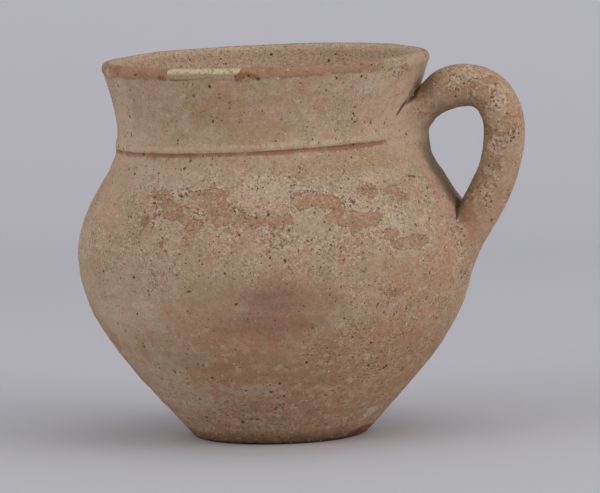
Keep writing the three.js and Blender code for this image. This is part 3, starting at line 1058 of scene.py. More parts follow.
@dataclass(frozen=True)
class SlippedEarthenware:
    """Low-fired earthenware, thrown, washed with buff slip and worn.

    A matt, porous, slightly chalky surface: cream where the slip is thick, salmon where it
    is thin, tan where it has flaked off with a pale ragged edge, and freckled all over with
    pores, dark grit and a little lime. Some coats are painted light: shade in the handle's loop,
    in its crevices, under the foot and along the flaked edges, a lighter inside, and a pale
    highlight over the seam's ledge.

    Attributes:
        slip: The colour of the plain slip, under all the coats.
        marks: The amounts that each piece carries.
        lumps: The noises, each with the width of its largest lumps in millimetres and its
            detail. The streaks are measured along the grain instead.
        masks: Shares that others use.
        coats: Colours from the lowest to the uppermost, each with its share.
        speckle: Noises that lighten and darken the colour, each with its strength on a
            smooth and on a crusty face.
        texture: Noises and shares that raise the surface, each with its height.
        flecks: The spots.
        relief: The strength of the raised texture.
        warp: How far noise pushes the spots out of round.
        smoothest: The roughness of the smoothest grains.
        roughest: The roughness of the roughest.
        ior: Of the fired clay.
    """

    name: str = "slipped_earthenware"
    slip: str = "#AD967D"
    marks: tuple[str, ...] = (
        "worn", "thin", "crust", "scale", "blush", "ochre", "pale", "seam", "crest", "rubbed", "pit",
        "bruise", "rough", "grime_and_shade", "lime", "foot", "tread", "salmon", "warm", "clean_and_lit", "soil_and_shade",
    )
    lumps: tuple[tuple[str, float, float], ...] = (
        ("broad", 26.0, 3.0),
        ("middling", 8.0, 3.0),
        ("small", 2.6, 3.0),
        ("fine", 0.9, 2.0),
        ("grit", 0.5, 1.0),
        ("streaks", 1.0, 3.0),
        ("mottle", 2.0, 2.0),
        ("crumbs", 0.75, 2.0),
        ("drift", 5.0, 3.0),
    )
    masks: tuple[tuple[str, Share], ...] = (
        ("bare", Share("worn", 0.48, 0.52, frayed=RAGGED)),
        ("covered", Share("worn", 0.52, 0.48, frayed=RAGGED)),
        ("flaky", Share("worn", 0.28, 0.485, frayed=RAGGED, within="covered")),
        ("crumbly", Share("crumbs", 0.36, 0.64, within="rough")),
        ("clotted", Share("crumbs", 0.36, 0.64, within="crust")),
        ("edged", Share("crumbs", 0.36, 0.64, within="flaky")),
        ("scaly", Share("crumbs", 0.36, 0.64, within="scale")),
        ("bruised", Share("bruise", 0.3, 0.7)),
        ("blushed", Share("blush", 0.5, 1.15, frayed=(("middling", 0.6),))),
        ("singed", Share("ochre", 0.3, 0.8, within="rubbed")),
    )
    coats: tuple[tuple[str, Share], ...] = (
        ("#AF8F77", Share("broad", 0.4, 0.62)),
        ("#A08F6F", Share("middling", 0.5, 0.68, 0.75)),
        ("#A37E60", Share("warm", 0.1, 1.0, 0.9, (("middling", 0.8),))),
        ("#AE9A7D", Share("drift", 0.55, 0.66, 0.5, within="warm")),
        ("#93745A", Share("drift", 0.44, 0.34, 0.5, within="warm")),
        ("#B9A58B", Share("mottle", 0.5, 0.62, 0.5)),
        ("#A87F66", Share("small", 0.52, 0.64, 0.45)),
        ("#AA7E60", Share("small", 0.3, 0.62, 0.8, within="salmon")),
        ("#A08160", Share("ochre", 0.15, 0.95, 0.5, (("small", 0.6), ("streaks", 0.4)))),
        ("#BAA994", Share("pale", 0.1, 0.95, 0.5, (("small", 0.9), ("streaks", 0.5)))),
        # Painted highlight: a pale line along the top of the seam's ledge
        ("#BDAB90", Share("crest", 0.1, 0.9, 0.7, (("small", 0.8),))),
        ("#98725A", Share("blush", 0.0, 1.15, 0.9, (("middling", 0.5), ("streaks", 0.7)))),
        ("#84665A", Share("streaks", 0.58, 0.34, 0.5, within="blushed")),
        ("#AB8B74", Share("crumbs", 0.56, 0.68, 0.5, within="blushed")),
        # Lighter on the inside, as painted light that lifts its shade, and on the places that the
        # potter wiped smooth
        ("#BB9F87", Share("clean_and_lit", 0.0, 1.0, 0.7)),
        ("#BFAB92", Share("crumbs", 0.53, 0.63, 0.5, within="rough")),
        ("#7F6047", Share("crumbs", 0.45, 0.36, 0.45, within="rough")),
        ("#8F7257", Share("thin", 0.25, 0.85, 0.85, (("small", 0.8),))),
        ("#C2AE93", Share("crumbs", 0.48, 0.56, 0.9, within="flaky")),
        ("#775C45", Share("crumbs", 0.44, 0.36, 0.85, within="flaky")),
        ("#9C7B61", Share("bare", 0.0, 1.0, 0.85)),
        # Painted shadow: a dark band just inside the edge of each flaked place, where the broken slip
        # casts shade
        ("#7B5D46", Share("worn", 0.545, 0.515, 0.5, RAGGED, within="bare")),
        ("#A37E63", Share("middling", 0.42, 0.6, within="bare")),
        ("#B59D80", Share("mottle", 0.52, 0.62, 0.4, within="bare")),
        ("#B7A083", Share("crumbs", 0.56, 0.66, 0.6, within="bare")),
        ("#C5AF98", Share("crumbs", 0.45, 0.53, 0.95, within="crust")),
        ("#6A4A35", Share("crumbs", 0.44, 0.37, 0.8, within="crust")),
        ("#C6AF9A", Share("crumbs", 0.5, 0.56, 0.6, within="scale")),
        ("#6A4A35", Share("crumbs", 0.44, 0.38, 0.6, within="scale")),
        ("#9C765E", Share("rubbed", 0.2, 0.8, 0.85, (("small", 1.1), ("fine", 0.5)))),
        ("#84604A", Share("drift", 0.48, 0.38, 0.45, within="rubbed")),
        ("#8A6039", Share("singed", 0.2, 0.8, 0.8, (("small", 0.5),))),
        ("#AD896D", Share("crumbs", 0.54, 0.64, 0.6, within="rubbed")),
        ("#C0B3A2", Share("lime", 0.2, 0.9, 0.6, (("small", 1.2), ("fine", 0.8)))),
        ("#6E533D", Share("foot", 0.2, 0.95, 0.9, (("small", 0.6),))),
        ("#8F5F48", Share("seam", 0.1, 0.8, 0.85, (("small", 0.7), ("fine", 0.4)))),
        # Soiling and painted shade inside the handle's loop, and on the rod's inner side and top by
        # the neck
        ("#755E47", Share("grime_and_shade", 0.1, 0.95, 0.75, (("small", 0.6),))),
        ("#BC5A38", Share("bruise", 0.3, 0.7)),
        ("#7A4632", Share("small", 0.5, 0.38, 0.8, within="bruised")),
        # Painted contact shade along the foot's lowest edge
        ("#433327", Share("tread", 0.2, 0.9, 0.9, (("small", 0.5),))),
        ("#4E3524", Share("pit", 0.25, 0.8, 0.85)),
        # Soiling and painted shade in the crevices at the handle's roots
        ("#4A3727", Share("soil_and_shade", 0.05, 0.9, 0.9, (("small", 0.3),))),
    )
    speckle: tuple[tuple[str, float, float], ...] = (("fine", 0.38, 0.85), ("grit", 0.6, 1.4))
    texture: tuple[tuple[str, float], ...] = (
        ("fine", 0.05), ("small", 0.1), ("grit", 0.05), ("bare", -0.08), ("crumbly", 0.1),
        ("clotted", 0.3), ("edged", 0.2), ("scaly", 0.2),
    )
    flecks: tuple[Fleck, ...] = (
        Fleck(0.9, 0.3, 0.06, 0.45, "#C6B398", 0.04),
        Fleck(0.8, 0.27, 0.12, 0.55, "#73513A", -0.05),
        Fleck(1.3, 0.38, 0.14, 0.7, "#67472F", -0.07),
        Fleck(2.7, 0.58, 0.28, 0.6, "#603F29", -0.1),
        Fleck(3.4, 0.42, 0.05, 0.12, "#D2C6B2", 0.02),
    )
    relief: float = 0.8
    warp: float = 0.8
    smoothest: float = 0.84
    roughest: float = 0.98
    ior: float = 1.5

    def amounts(self, tree: Tree, place: Socket) -> dict[str, Socket]:
        """Reads the marks, and adds the noises and the masks.

        Args:
            tree: The material's tree.
            place: The place in millimetres.

        Returns:
            Each of them by name.
        """
        known = {}
        for mark in self.marks:
            known[mark] = node(tree, "Attribute", output="Fac", attribute_name=mark)
        grain = node(tree, "Attribute", output="Vector", attribute_name="grain")
        for seed, (name, width, detail) in enumerate(self.lumps, start=1):
            inputs = {"Vector": grain if name == "streaks" else place, "W": float(seed)}
            inputs |= {"Scale": 1.0 / width, "Detail": detail, "Roughness": 0.55}
            known[name] = node(tree, "TexNoise", inputs, noise_dimensions="4D")
        for name, share in self.masks:
            known[name] = share.socket(tree, known)
        return known

    def tone(self, tree: Tree, known: Mapping[str, Socket]) -> Socket:
        """Adds what lightens and darkens the colour: the wheel's streaks, then the speckle.

        Args:
            tree: The material's tree.
            known: The marks, noises and masks.

        Returns:
            The grey to multiply the colour by, about 1.
        """
        tone = node(tree, "MapRange", {"Value": known["streaks"], "To Min": 0.9, "To Max": 1.1})
        for name, smooth, crusty in self.speckle:
            inputs = {"Value": known["rough"], "To Min": smooth, "To Max": crusty}
            strength = node(tree, "MapRange", inputs)
            centred = node(tree, "Math", {0: known[name], 1: 0.5}, operation="SUBTRACT")
            inputs = {0: centred, 1: strength, 2: tone}
            tone = node(tree, "Math", inputs, operation="MULTIPLY_ADD")
        return tone

    def material(self) -> bpy.types.Material:
        """Builds the material: colours laid over each other by the piece's marks and by noise."""
        material, tree = blank_material(self.name)
        place = in_millimetres(tree)
        known = self.amounts(tree, place)
        colour: Socket | str = self.slip
        for shade, share in self.coats:
            inputs = {"Factor": share.socket(tree, known), "A": colour, "B": shade}
            colour = node(tree, "Mix", inputs, data_type="RGBA")

        height: Socket | float = 0.0
        for name, rise in self.texture:
            inputs = {0: known[name], 1: rise, 2: height}
            height = node(tree, "Math", inputs, operation="MULTIPLY_ADD")
        inputs = {0: known["crumbs"].node.outputs["Color"], 1: (self.warp,) * 3, 2: place}
        warped = node(tree, "VectorMath", inputs, operation="MULTIPLY_ADD")
        for fleck in self.flecks:
            mask = fleck.mask(tree, warped, known["rough"])
            inputs = {"Factor": mask, "A": colour, "B": fleck.colour}
            colour = node(tree, "Mix", inputs, data_type="RGBA")
            inputs = {0: mask, 1: fleck.height, 2: height}
            height = node(tree, "Math", inputs, operation="MULTIPLY_ADD")

        inputs = {"Factor": 1.0, "A": colour, "B": self.tone(tree, known)}
        colour = node(tree, "Mix", inputs, data_type="RGBA", blend_type="MULTIPLY")

        inputs = {"Height": height, "Distance": MM, "Strength": self.relief}
        normal = node(tree, "Bump", inputs)
        inputs = {"Value": known["fine"], "To Min": self.smoothest, "To Max": self.roughest}
        sheen = node(tree, "MapRange", inputs)
        inputs = {"Base Color": colour, "Roughness": sheen, "IOR": self.ior}
        inputs |= {"Specular IOR Level": 0.3, "Normal": normal}
        surface = node(tree, "BsdfPrincipled", inputs)
        node(tree, "OutputMaterial", {"Surface": surface})
        return material


@dataclass(frozen=True)
class FillPlaster:
    """Plaster, smoothed into the chipped rim and toned to the slip.

    A fine, chalky surface, paler and greyer than the clay and stippled with air holes. A
    thin wash tones its lower edge into the neck.

    Attributes:
        plaster: The colour of the bare plaster.
        toned: Its colour under the wash.
        stippled: Of the fine stipple all over it.
        holes: The air holes.
        roughness: Of its surface.
    """

    name: str = "fill_plaster"
    plaster: str = "#C9B89C"
    toned: str = "#A39074"
    stippled: str = "#97845F"
    holes: Fleck = Fleck(1.6, 0.34, 0.3, 0.3, "#6F5C45", -0.12)
    roughness: float = 0.94

    def material(self) -> bpy.types.Material:
        """Builds the material: plaster that a thin wash tones in clouds, with air holes."""
        material, tree = blank_material(self.name)
        place = in_millimetres(tree)
        cloud = node(tree, "TexNoise", {"Vector": place, "Scale": 1.0, "Detail": 3.0})
        wash = node(tree, "Attribute", output="Fac", attribute_name="wash")
        clouded = node(tree, "Math", {0: cloud, 1: 0.9, 2: wash}, operation="MULTIPLY_ADD")
        stipple = node(tree, "TexNoise", {"Vector": place, "Scale": 1.25, "Detail": 1.0})
        shares = []
        for value, start, stop, top in ((clouded, 0.45, 1.15, 1.0), (stipple, 0.47, 0.37, 0.8)):
            inputs = {"Value": value, "From Min": start, "From Max": stop, "To Max": top}
            shares.append(node(tree, "MapRange", inputs, interpolation_type="SMOOTHSTEP"))
        hole = self.holes.mask(tree, place, wash)
        colour: Socket | str = self.plaster
        for share, shade in zip([*shares, hole], (self.toned, self.stippled, self.holes.colour)):
            inputs = {"Factor": share, "A": colour, "B": shade}
            colour = node(tree, "Mix", inputs, data_type="RGBA")
        inputs = {0: hole, 1: self.holes.height, 2: cloud}
        height = node(tree, "Math", inputs, operation="MULTIPLY_ADD")
        normal = node(tree, "Bump", {"Height": height, "Distance": 0.3 * MM, "Strength": 0.7})
        inputs = {"Base Color": colour, "Roughness": self.roughness}
        inputs |= {"Specular IOR Level": 0.25, "Normal": normal}
        surface = node(tree, "BsdfPrincipled", inputs)
        node(tree, "OutputMaterial", {"Surface": surface})
        return material


@dataclass(frozen=True)
class StudioPaper:
    """Seamless backdrop paper, matt and lavender-grey.

    Attributes:
        shade: The colour of its face. Its back is clear, so that it never hides the cup.
        roughness: Of its face.
    """

    name: str = "studio_paper"
    shade: str = "#C9C9CF"
    roughness: float = 0.95

    def material(self) -> bpy.types.Material:
        """Builds the material: one plain colour on its face, and clear on its back."""
        material, tree = blank_material(self.name)
        inputs = {"Base Color": self.shade, "Roughness": self.roughness, "Specular IOR Level": 0.1}
        face = node(tree, "BsdfPrincipled", inputs)
        behind = node(tree, "NewGeometry", output="Backfacing")
        clear = node(tree, "BsdfTransparent")
        surface = node(tree, "MixShader", {0: behind, 1: face, 2: clear})
        node(tree, "OutputMaterial", {"Surface": surface})
        return material


# Pieces


@dataclass(frozen=True)
class ClayPiece:
    """A piece of the fired clay, which takes its shape from the cup as thrown.

    Attributes:
        outline: The thrown form.
        wear: The marks on it.
        settling: How it settled.
    """

    outline: Outline
    wear: Wear
    settling: Settling


@dataclass(frozen=True)
class ThrownBowl(ClayPiece):
    """The bowl, from its flat foot to the seam under the collar.

    Attributes:
        columns: Points round it.
        tread_hub: The radius of the innermost row under the foot.
        tread_rows: Rows under the foot.
        outside_rows: Rows up the outside.
        lap_rows: Rows over the lap that the collar sits on.
        inside_rows: Rows down the inside.
        squeeze: How thick the clay squeezed out from under the collar lies on the shoulder.
        finger_ridge: Height of the spiral that the potter's finger left inside.
        finger_rise: Height that the spiral climbs in one turn.
        inner_lump: Height of the unevenness inside.
    """

    columns: int = 448
    tread_hub: float = 1.5
    tread_rows: int = 11
    outside_rows: int = 140
    lap_rows: int = 3
    inside_rows: int = 66
    squeeze: float = 0.28
    finger_ridge: float = 0.3
    finger_rise: float = 7.0
    inner_lump: float = 0.12

    def build(self) -> bpy.types.Object:
        """Spins the outline round the axis and presses the wear into it.

        A point is (radius cos angle, radius sin angle, height) of the outline, moved out along
        the outline's own outward direction by the relief, then settled. Inside, the relief is
        the cosine of a spiral: one turn for each climb of finger_rise along the wall.
        """
        outside = self.outline.bowl_outside()
        tread = np.linspace((self.tread_hub, 0.0), outside[0], self.tread_rows + 1)[:-1]
        top = np.linspace(outside[-1], self.outline.bowl_inside()[0], self.lap_rows + 2)[1:-1]
        inside = evenly(self.outline.bowl_inside(), self.inside_rows + 1)[:-1]
        profile = np.concatenate([tread, evenly(outside, self.outside_rows), top, inside])
        outward = np.concatenate([
            np.zeros(len(tread)),
            np.ones(self.outside_rows),
            np.zeros(len(top) + len(inside)),
        ])[:, None]
        way = directions(profile)
        angle = np.linspace(-math.pi, math.pi, self.columns, endpoint=False)[None, :]
        height, seam = profile[:, 1:], self.outline.seam_height
        points = spun(profile[:, :1], angle, height)
        marks = self.wear.read(points, outward)
        rise = self.wear.relief(points, marks) * outward
        rise *= ramp(height, -0.01, 0.8)
        spiral = TURN * running(profile)[:, None] / self.finger_rise + angle
        inner = (1.0 - outward) * ramp(height, 1.0, 6.0) * ramp(height, 82.0, 76.0)
        lumps = self.inner_lump * Cloud(9.0, 81, 3).at(points)
        rise += inner * (self.finger_ridge * np.cos(spiral) + lumps)
        squeezed = ramp(height, seam - 1.8, seam - 0.1)
        rise += self.squeeze * squeezed * outward * self.wear.seam_open(points)
        out = spun(way[:, 1:], angle, -way[:, :1])
        grid = self.settling.moved(points + out * rise[..., None], self.outline)
        grid[..., 2] = np.maximum(grid[..., 2], 0.0)
        return skin("thrown_bowl", grid, marks)


@dataclass(frozen=True)
class RimChip:
    """The chip knocked out of the rim, whose bed the plaster lies on.

    Attributes:
        angle: Of its middle, round the cup.
        length: Along the rim.
        deep_end: Its depth at the end away from the handle.
        shallow_end: Its depth at the other end.
        corner: The radius of the bed's corners.
    """

    angle: float = -97.3
    length: float = 21.6
    deep_end: float = 3.0
    shallow_end: float = 1.9
    corner: float = 1.5

    def depth(self, angle: Array, radius: float, inset: float = 0.0) -> Array:
        """How deep the bed lies under the crest.

        A straight bed from one depth to the other, with a quarter round at each end.

        Args:
            angle: Round the cup, in radians.
            radius: Of the rim.
            inset: Draws the ends and the bed in by this much; below 0 it widens them.

        Returns:
            The depth, 0 outside the chip.
        """
        across = (angle - math.radians(self.angle)) * radius
        share = across / self.length + 0.5
        bed = blend(self.deep_end, self.shallow_end, ramp(share, 0.1, 0.9)) - inset
        to_end = self.length / 2.0 - inset - np.abs(across)
        within = np.clip(to_end / self.corner, 0.0, 1.0)
        round_end = np.sqrt(np.clip(1.0 - (1.0 - within) ** 2, 0.0, 1.0))
        return np.maximum(bed, 0.0) * round_end


@dataclass(frozen=True)
class LutedCollar(ClayPiece):
    """The collar neck with its lip, whose foot laps over the bowl's mouth.

    Attributes:
        chip: The chip in its rim.
        columns: Points round it.
        outside_rows: Rows up the outside.
        inside_rows: Rows down the inside.
        bite: How far its foot sinks into the bowl, so that no light passes.
        lump: Height of the unevenness inside it and on the bed of the chip.
        least_chip: How deep the chip is where its bed begins to show.
    """

    chip: RimChip
    columns: int = 640
    outside_rows: int = 62
    inside_rows: int = 34
    bite: float = 0.6
    lump: float = 0.12
    least_chip: float = 0.05

    def build(self) -> bpy.types.Object:
        """Spins the collar's outline, with the ledge faded out beside the handle.

        Every column is a mix of two outlines, one with the ledge and one without, and its top
        is cut down to the bed of the chip where that lies lower.
        """
        angle = np.linspace(-math.pi, math.pi, self.columns, endpoint=False)[None, :]
        sides = [
            self.profile(evenly(self.outline.collar_outside(ledge), self.outside_rows))
            for ledge in (self.outline.ledge, 0.0)
        ]
        shown = self.wear.seam_open(spun(1.0, angle, 0.0))[..., None]
        mixed = blend(sides[1][:, None, :], sides[0][:, None, :], shown)
        radius, height = mixed[..., 0], mixed[..., 1]
        way = directions(sides[0])
        rows = len(way)
        outward = (np.arange(rows) < self.outside_rows).astype(float)[:, None]
        points = spun(radius, angle, height)
        marks = self.wear.read(points, outward)
        rise = self.wear.relief(points, marks) * outward
        rise += self.lump * Cloud(7.0, 82, 3).at(points) * (1.0 - outward)
        out = spun(way[:, 1:], angle, -way[:, :1])
        moved = points + out * rise[..., None]
        rim = self.outline.rim_height
        bed = rim - self.chip.depth(angle, self.outline.rim_radius)
        bed = bed + self.lump * Cloud(1.2, 83, 2).at(points) * (bed < rim - 0.2)
        cut = (moved[..., 2] > bed) & (bed < rim - self.least_chip)
        moved[..., 2] = np.where(cut, bed, moved[..., 2])
        marks["worn"] = np.where(cut, 1.0, marks["worn"])
        return skin("luted_collar", self.settling.moved(moved, self.outline), marks, ring=True)

    def profile(self, outside: Array) -> Array:
        """Closes the outside with the lip's inside, the inner wall and a foot sunk in the bowl.

        Args:
            outside: Points from the foot to the crest.

        Returns:
            The closed profile, as (radius, height).
        """
        inside = evenly(self.outline.collar_inside(), self.inside_rows)[1:]
        inner = inside[-1] + (0.3, -self.bite)
        outer = outside[0] + (-1.2, -self.bite)
        return np.concatenate([outside, inside, [inner, (inner + outer) / 2.0, outer]])


@dataclass(frozen=True)
class PlasterFill:
    """The plaster that makes the rim whole again.

    Attributes:
        outline: The thrown form.
        settling: How the rim that it follows settled.
        chip: The chip that it fills.
        columns: Points along it.
        around: Points round its section.
        sink: How far it reaches past the chip's own faces, so that no gap shows.
        shy: How far its outside lies behind the lip's.
    """

    outline: Outline
    settling: Settling
    chip: RimChip
    columns: int = 120
    around: int = 48
    sink: float = 0.1
    shy: float = 0.06

    def build(self) -> bpy.types.Object:
        """Carries a section along the chip: the lip's outline above the bed, closed by the bed.

        At each angle the lip's outline is read between the two places where it rises out of
        the bed, outside and inside, at even shares of its length.
        """
        half = (self.chip.length / 2.0 + self.sink) / self.outline.rim_radius
        middle = math.radians(self.chip.angle)
        angle = np.linspace(middle - half, middle + half, self.columns)
        depth = self.chip.depth(angle, self.outline.rim_radius, -self.sink)
        bed = self.outline.rim_height - np.maximum(depth, 0.02)
        outside = self.outline.collar_outside(self.outline.ledge)
        inside = self.outline.collar_inside()
        lip = np.concatenate([outside, inside[1:]])
        run = running(lip)
        top = len(outside) - 1
        start = np.interp(bed, lip[: top + 1, 1], run[: top + 1])
        stop = np.interp(-bed, -lip[top:, 1], run[top:])
        share = np.linspace(0.0, 1.0, self.around)[None, :]
        where = blend(start[:, None], stop[:, None], share)
        way = directions(lip)
        sides = (lip[:, 0], lip[:, 1], way[:, 1], -way[:, 0])
        radius, height, out_r, out_z = (np.interp(where, run, values) for values in sides)
        points = spun(radius, angle[:, None], height)
        proud = 0.05 * Cloud(3.0, 91, 2).at(points) + 0.02 * Cloud(0.9, 92, 1).at(points) - self.shy
        proud = proud * np.sin(math.pi * share) ** 0.3
        points = spun(radius + proud * out_r, angle[:, None], height + proud * out_z)
        wash = ramp(height, self.outline.rim_height - 0.9, self.outline.rim_height - 1.9)
        grid = self.settling.moved(points, self.outline)
        return skin("rim_plaster", grid, {"wash": wash})


def ended(upper: Array, between: Array, lower: Array) -> Array:
    """The rows of a root, the rod and the other root as one, with the end rows doubled."""
    return np.concatenate([upper[:1], upper, between, lower, lower[-1:]])


@dataclass(frozen=True)
class Root:
    """How one end of the handle is smeared on to the wall.

    Attributes:
        least: How far the clay spreads on the wall where the join is crisp.
        most: How far it spreads where it is smoothed out.
        spread_from: The cosine round the rod at which the spread begins to grow.
        spread_to: The cosine at which it is full.
        crisp_from: The cosine at which the edge begins to stand up as a crevice.
        crisp_to: The cosine at which it stands up fully.
        edge_height: How high the crisp edge stands.
        soiled_and_shaded_from: The share of the way from the rod to the landing at which the crisp
            edge begins to
        darken with soiling and painted shade; at 1 there is none.
        web: How thick the smoothed clay fills the corner where the join is not crisp.
    """

    least: float
    most: float
    spread_from: float
    spread_to: float
    crisp_from: float
    crisp_to: float
    edge_height: float
    soiled_and_shaded_from: float
    web: float

    def spread(self, turn: Array) -> Array:
        """How far the clay spreads on the wall, round the rod."""
        return blend(self.least, self.most, ramp(np.cos(turn), self.spread_from, self.spread_to))

    def crisp(self, turn: Array) -> Array:
        """1 where the join's edge stands up, round the rod, and 0 where it is smoothed out."""
        return ramp(np.cos(turn), self.crisp_from, self.crisp_to)


@dataclass(frozen=True)
class RolledHandle(ClayPiece):
    """The handle: a rolled rod of clay, looped from the neck to the shoulder.

    Attributes:
        thickness: Of the rod in the plane of the loop.
        width: Of the rod across it.
        finger_reach: From the collar's waist to the inside of the rod at its bend.
        bend_rise: From the seam up to the rod's furthest place.
        upper_root_rise: From the seam up to where the centreline leaves the collar.
        upper_root_lean: Of the centreline there, above level.
        lower_root_rise: From the belly up to where the centreline enters the bowl.
        lower_root_lean: Of the centreline there, below level.
        upper_root_pull: How far the upper root pulls the curve.
        arch_pull: How far the bend pulls the curve above it.
        back_pull: How far the bend pulls the curve below it.
        lower_root_pull: How far the lower root pulls the curve.
        tail: How far the centreline goes on inside the wall.
        pressed: Where it was pressed in: how deep, at what length, how far along, and on the
            outer side, 1, or the inner, -1. Below 0 the clay sagged outwards instead.
        upper: The root on the collar.
        lower: The root on the bowl.
        around: Points round the rod.
        rows: Rows along the rod between the roots.
        root_rows: Rows down each root.
        line_points: Points on the centreline.
        tries: Places along the rod where each line on its skin is tried against the wall.
        tried: The share of the rod's length that they lie in.
    """

    thickness: float = 10.9
    width: float = 12.8
    finger_reach: float = 19.2
    bend_rise: float = 1.0
    upper_root_rise: float = 6.8
    upper_root_lean: float = 45.0
    lower_root_rise: float = 3.6
    lower_root_lean: float = 55.0
    upper_root_pull: float = 16.5
    arch_pull: float = 14.2
    back_pull: float = 10.0
    lower_root_pull: float = 12.0
    tail: float = 13.0
    pressed: tuple[tuple[float, float, float, float], ...] = (
        (-1.2, 28.0, 10.0, -1.0), (1.5, 18.0, 4.0, 1.0),
    )
    upper: Root = Root(
        least=0.4, most=8.2, spread_from=0.75, spread_to=-0.65, crisp_from=-0.45, crisp_to=0.1,
        edge_height=0.3, soiled_and_shaded_from=1.0, web=2.4,
    )
    lower: Root = Root(
        least=0.8, most=9.0, spread_from=-0.95, spread_to=0.9, crisp_from=-0.55, crisp_to=-0.85,
        edge_height=0.8, soiled_and_shaded_from=0.6, web=0.0,
    )
    around: int = 144
    rows: int = 190
    root_rows: int = 26
    line_points: int = 1400
    tries: int = 900
    tried: float = 0.45

    def centreline(self) -> Array:
        """The rod's middle in the plane of the loop, as (x, height), from root to root.

        Returns:
            Even points along a straight tail inside the collar, a cubic up to the bend, a cubic
            down to the belly and a straight tail inside the bowl.
        """
        wall = self.outline.wall()
        high = self.outline.seam_height + self.upper_root_rise
        low = self.outline.belly_height + self.lower_root_rise
        upper = np.array([float(wall.radius_at(high)), high])
        lower = np.array([float(wall.radius_at(low)), low])
        reach = self.outline.waist_radius + self.finger_reach + self.thickness / 2.0
        bend = np.array([reach, self.outline.seam_height + self.bend_rise])
        upper_lean, lower_lean = 90.0 - self.upper_root_lean, 90.0 - self.lower_root_lean
        leaving = leant(upper, upper_lean, self.upper_root_pull)
        reaching = leant(lower, lower_lean, self.lower_root_pull)
        line = np.concatenate([
            np.linspace(leant(upper, upper_lean, -self.tail), upper, ARC_POINTS),
            bezier([upper, leaving, bend + (0.0, self.arch_pull), bend], CURVE_POINTS)[1:],
            bezier([bend, bend - (0.0, self.back_pull), reaching, lower], CURVE_POINTS)[1:],
            np.linspace(lower, leant(lower, lower_lean, -self.tail), ARC_POINTS)[1:],
        ])
        return evenly(line, self.line_points)

    def rod(self, along: Array, turn: Array, line: Array) -> Array:
        """Points on the rod's skin.

        Each is the centreline's point plus the oval's own two parts: the cosine of the turn
        times half the thickness, outwards in the loop's plane, and its sine times half the
        width, sideways; both are swelled a little by the lumps that rolling by hand leaves, and
        each place where it was pressed, or where the clay sagged, adds a bell curve of the
        length times how squarely the skin faces that side.

        Args:
            along: Length along the centreline.
            turn: Round the rod, in radians from the loop's outer side.
            line: The centreline.

        Returns:
            The points, with three numbers in the last axis.
        """
        run = running(line)
        way = directions(line)
        x, z = (np.interp(along, run, line[:, k]) for k in (0, 1))
        way_x, way_z = (np.interp(along, run, way[:, k]) for k in (0, 1))
        across, side = np.cos(turn) * self.thickness / 2.0, np.sin(turn) * self.width / 2.0
        for depth, middle, reach, side_of_rod in self.pressed:
            facing = np.maximum(side_of_rod * np.cos(turn), 0.0)
            bell = np.exp(-(((along - middle) / reach) ** 2))
            across = across - side_of_rod * depth * facing * bell
        x, z, way_x, way_z, across, side = np.broadcast_arrays(x, z, way_x, way_z, across, side)
        middle = np.stack([x - way_z * across, side, z + way_x * across], axis=-1)
        swell = 1.0 + 0.045 * Cloud(15.0, 101, 2).at(middle) + 0.012 * Cloud(4.0, 102, 2).at(middle)
        parts = [x - way_z * across * swell, side * swell, z + way_x * across * swell]
        return np.stack(parts, axis=-1)

    def entry(self, line: Array, turn: Array, *, lower: bool) -> Array:
        """Follows each line on the rod's skin, in small steps, to where it enters the wall.

        Args:
            line: The rod's centreline.
            turn: Round the rod, in radians, one for each column.
            lower: Whether this is the end on the bowl.

        Returns:
            How far along the rod each column meets the wall.
        """
        length = np.linalg.norm(np.diff(line, axis=0), axis=1).sum()
        steps = np.linspace(0.0, length * self.tried, self.tries)[:, None]
        steps = length - steps if lower else steps
        tried = self.rod(steps, turn[None, :], line)
        radius = self.outline.wall().radius_at(tried[..., 2])
        gap = np.hypot(tried[..., 0], tried[..., 1]) - radius
        last = len(steps) - 1 - np.argmax((gap < 0.0)[::-1], axis=0)
        columns = np.arange(len(turn))
        before, after = gap[last, columns], gap[last + 1, columns]
        return steps[last, 0] + (steps[last + 1, 0] - steps[last, 0]) * before / (before - after)

    def root(self, root: Root, line: Array, turn: Array, *, lower: bool) -> dict[str, Array]:
        """Smears one end of the rod on to the wall.

        Each line along the rod's skin is followed to where it enters the wall. From a little
        before that it bends over, as a quadratic in the wall's own coordinates (angle, length
        up the wall, distance out), to a landing a little way out from the join.

        Args:
            root: How far it is spread and where it is crisp.
            line: The rod's centreline.
            turn: Round the rod, in radians, one for each column.
            lower: Whether this is the end on the bowl.

        Returns:
            The skin's points from the landing to the rod, the places of their feet on the
            wall, how far each is darkened by soiling and painted shade, and where along the rod each
            column starts.
        """
        wall = self.outline.wall()
        hit = self.entry(line, turn, lower=lower)
        spread, crisp = root.spread(turn), root.crisp(turn)
        outwards = -1.0 if lower else 1.0
        start = hit + outwards * (0.5 + 0.8 * spread)
        at_hit = self.rod(hit, turn, line)
        at_start = self.rod(start, turn, line)
        angle_hit, run_hit, _ = wall.nearest(at_hit)
        angle_start, run_start, out_start = wall.nearest(at_start)
        radius = np.hypot(at_hit[:, 0], at_hit[:, 1]).mean()
        flat = np.stack([angle_hit * radius, run_hit], axis=1)
        way = np.roll(flat, -1, axis=0) - np.roll(flat, 1, axis=0)
        normal = np.stack([way[:, 1], -way[:, 0]], axis=1)
        normal /= np.linalg.norm(normal, axis=1, keepdims=True)
        normal *= np.sign(((flat - flat.mean(axis=0)) * normal).sum(axis=1).mean())
        ragged = 1.0 + 0.22 * Cloud(5.0, 103 + lower, 2).at(at_hit)
        landing = flat + normal * (spread * ragged)[:, None]
        t = np.linspace(1.0, 0.0, self.root_rows)[:, None]
        shares = ((1.0 - t) ** 2, 2.0 * t * (1.0 - t), t**2)
        raised = crisp * np.minimum(root.edge_height, out_start * 0.8)
        raised = raised + root.web * ramp(-np.cos(turn), 0.2, 0.8)
        middle = blend(flat, landing, 0.55 * crisp[:, None])
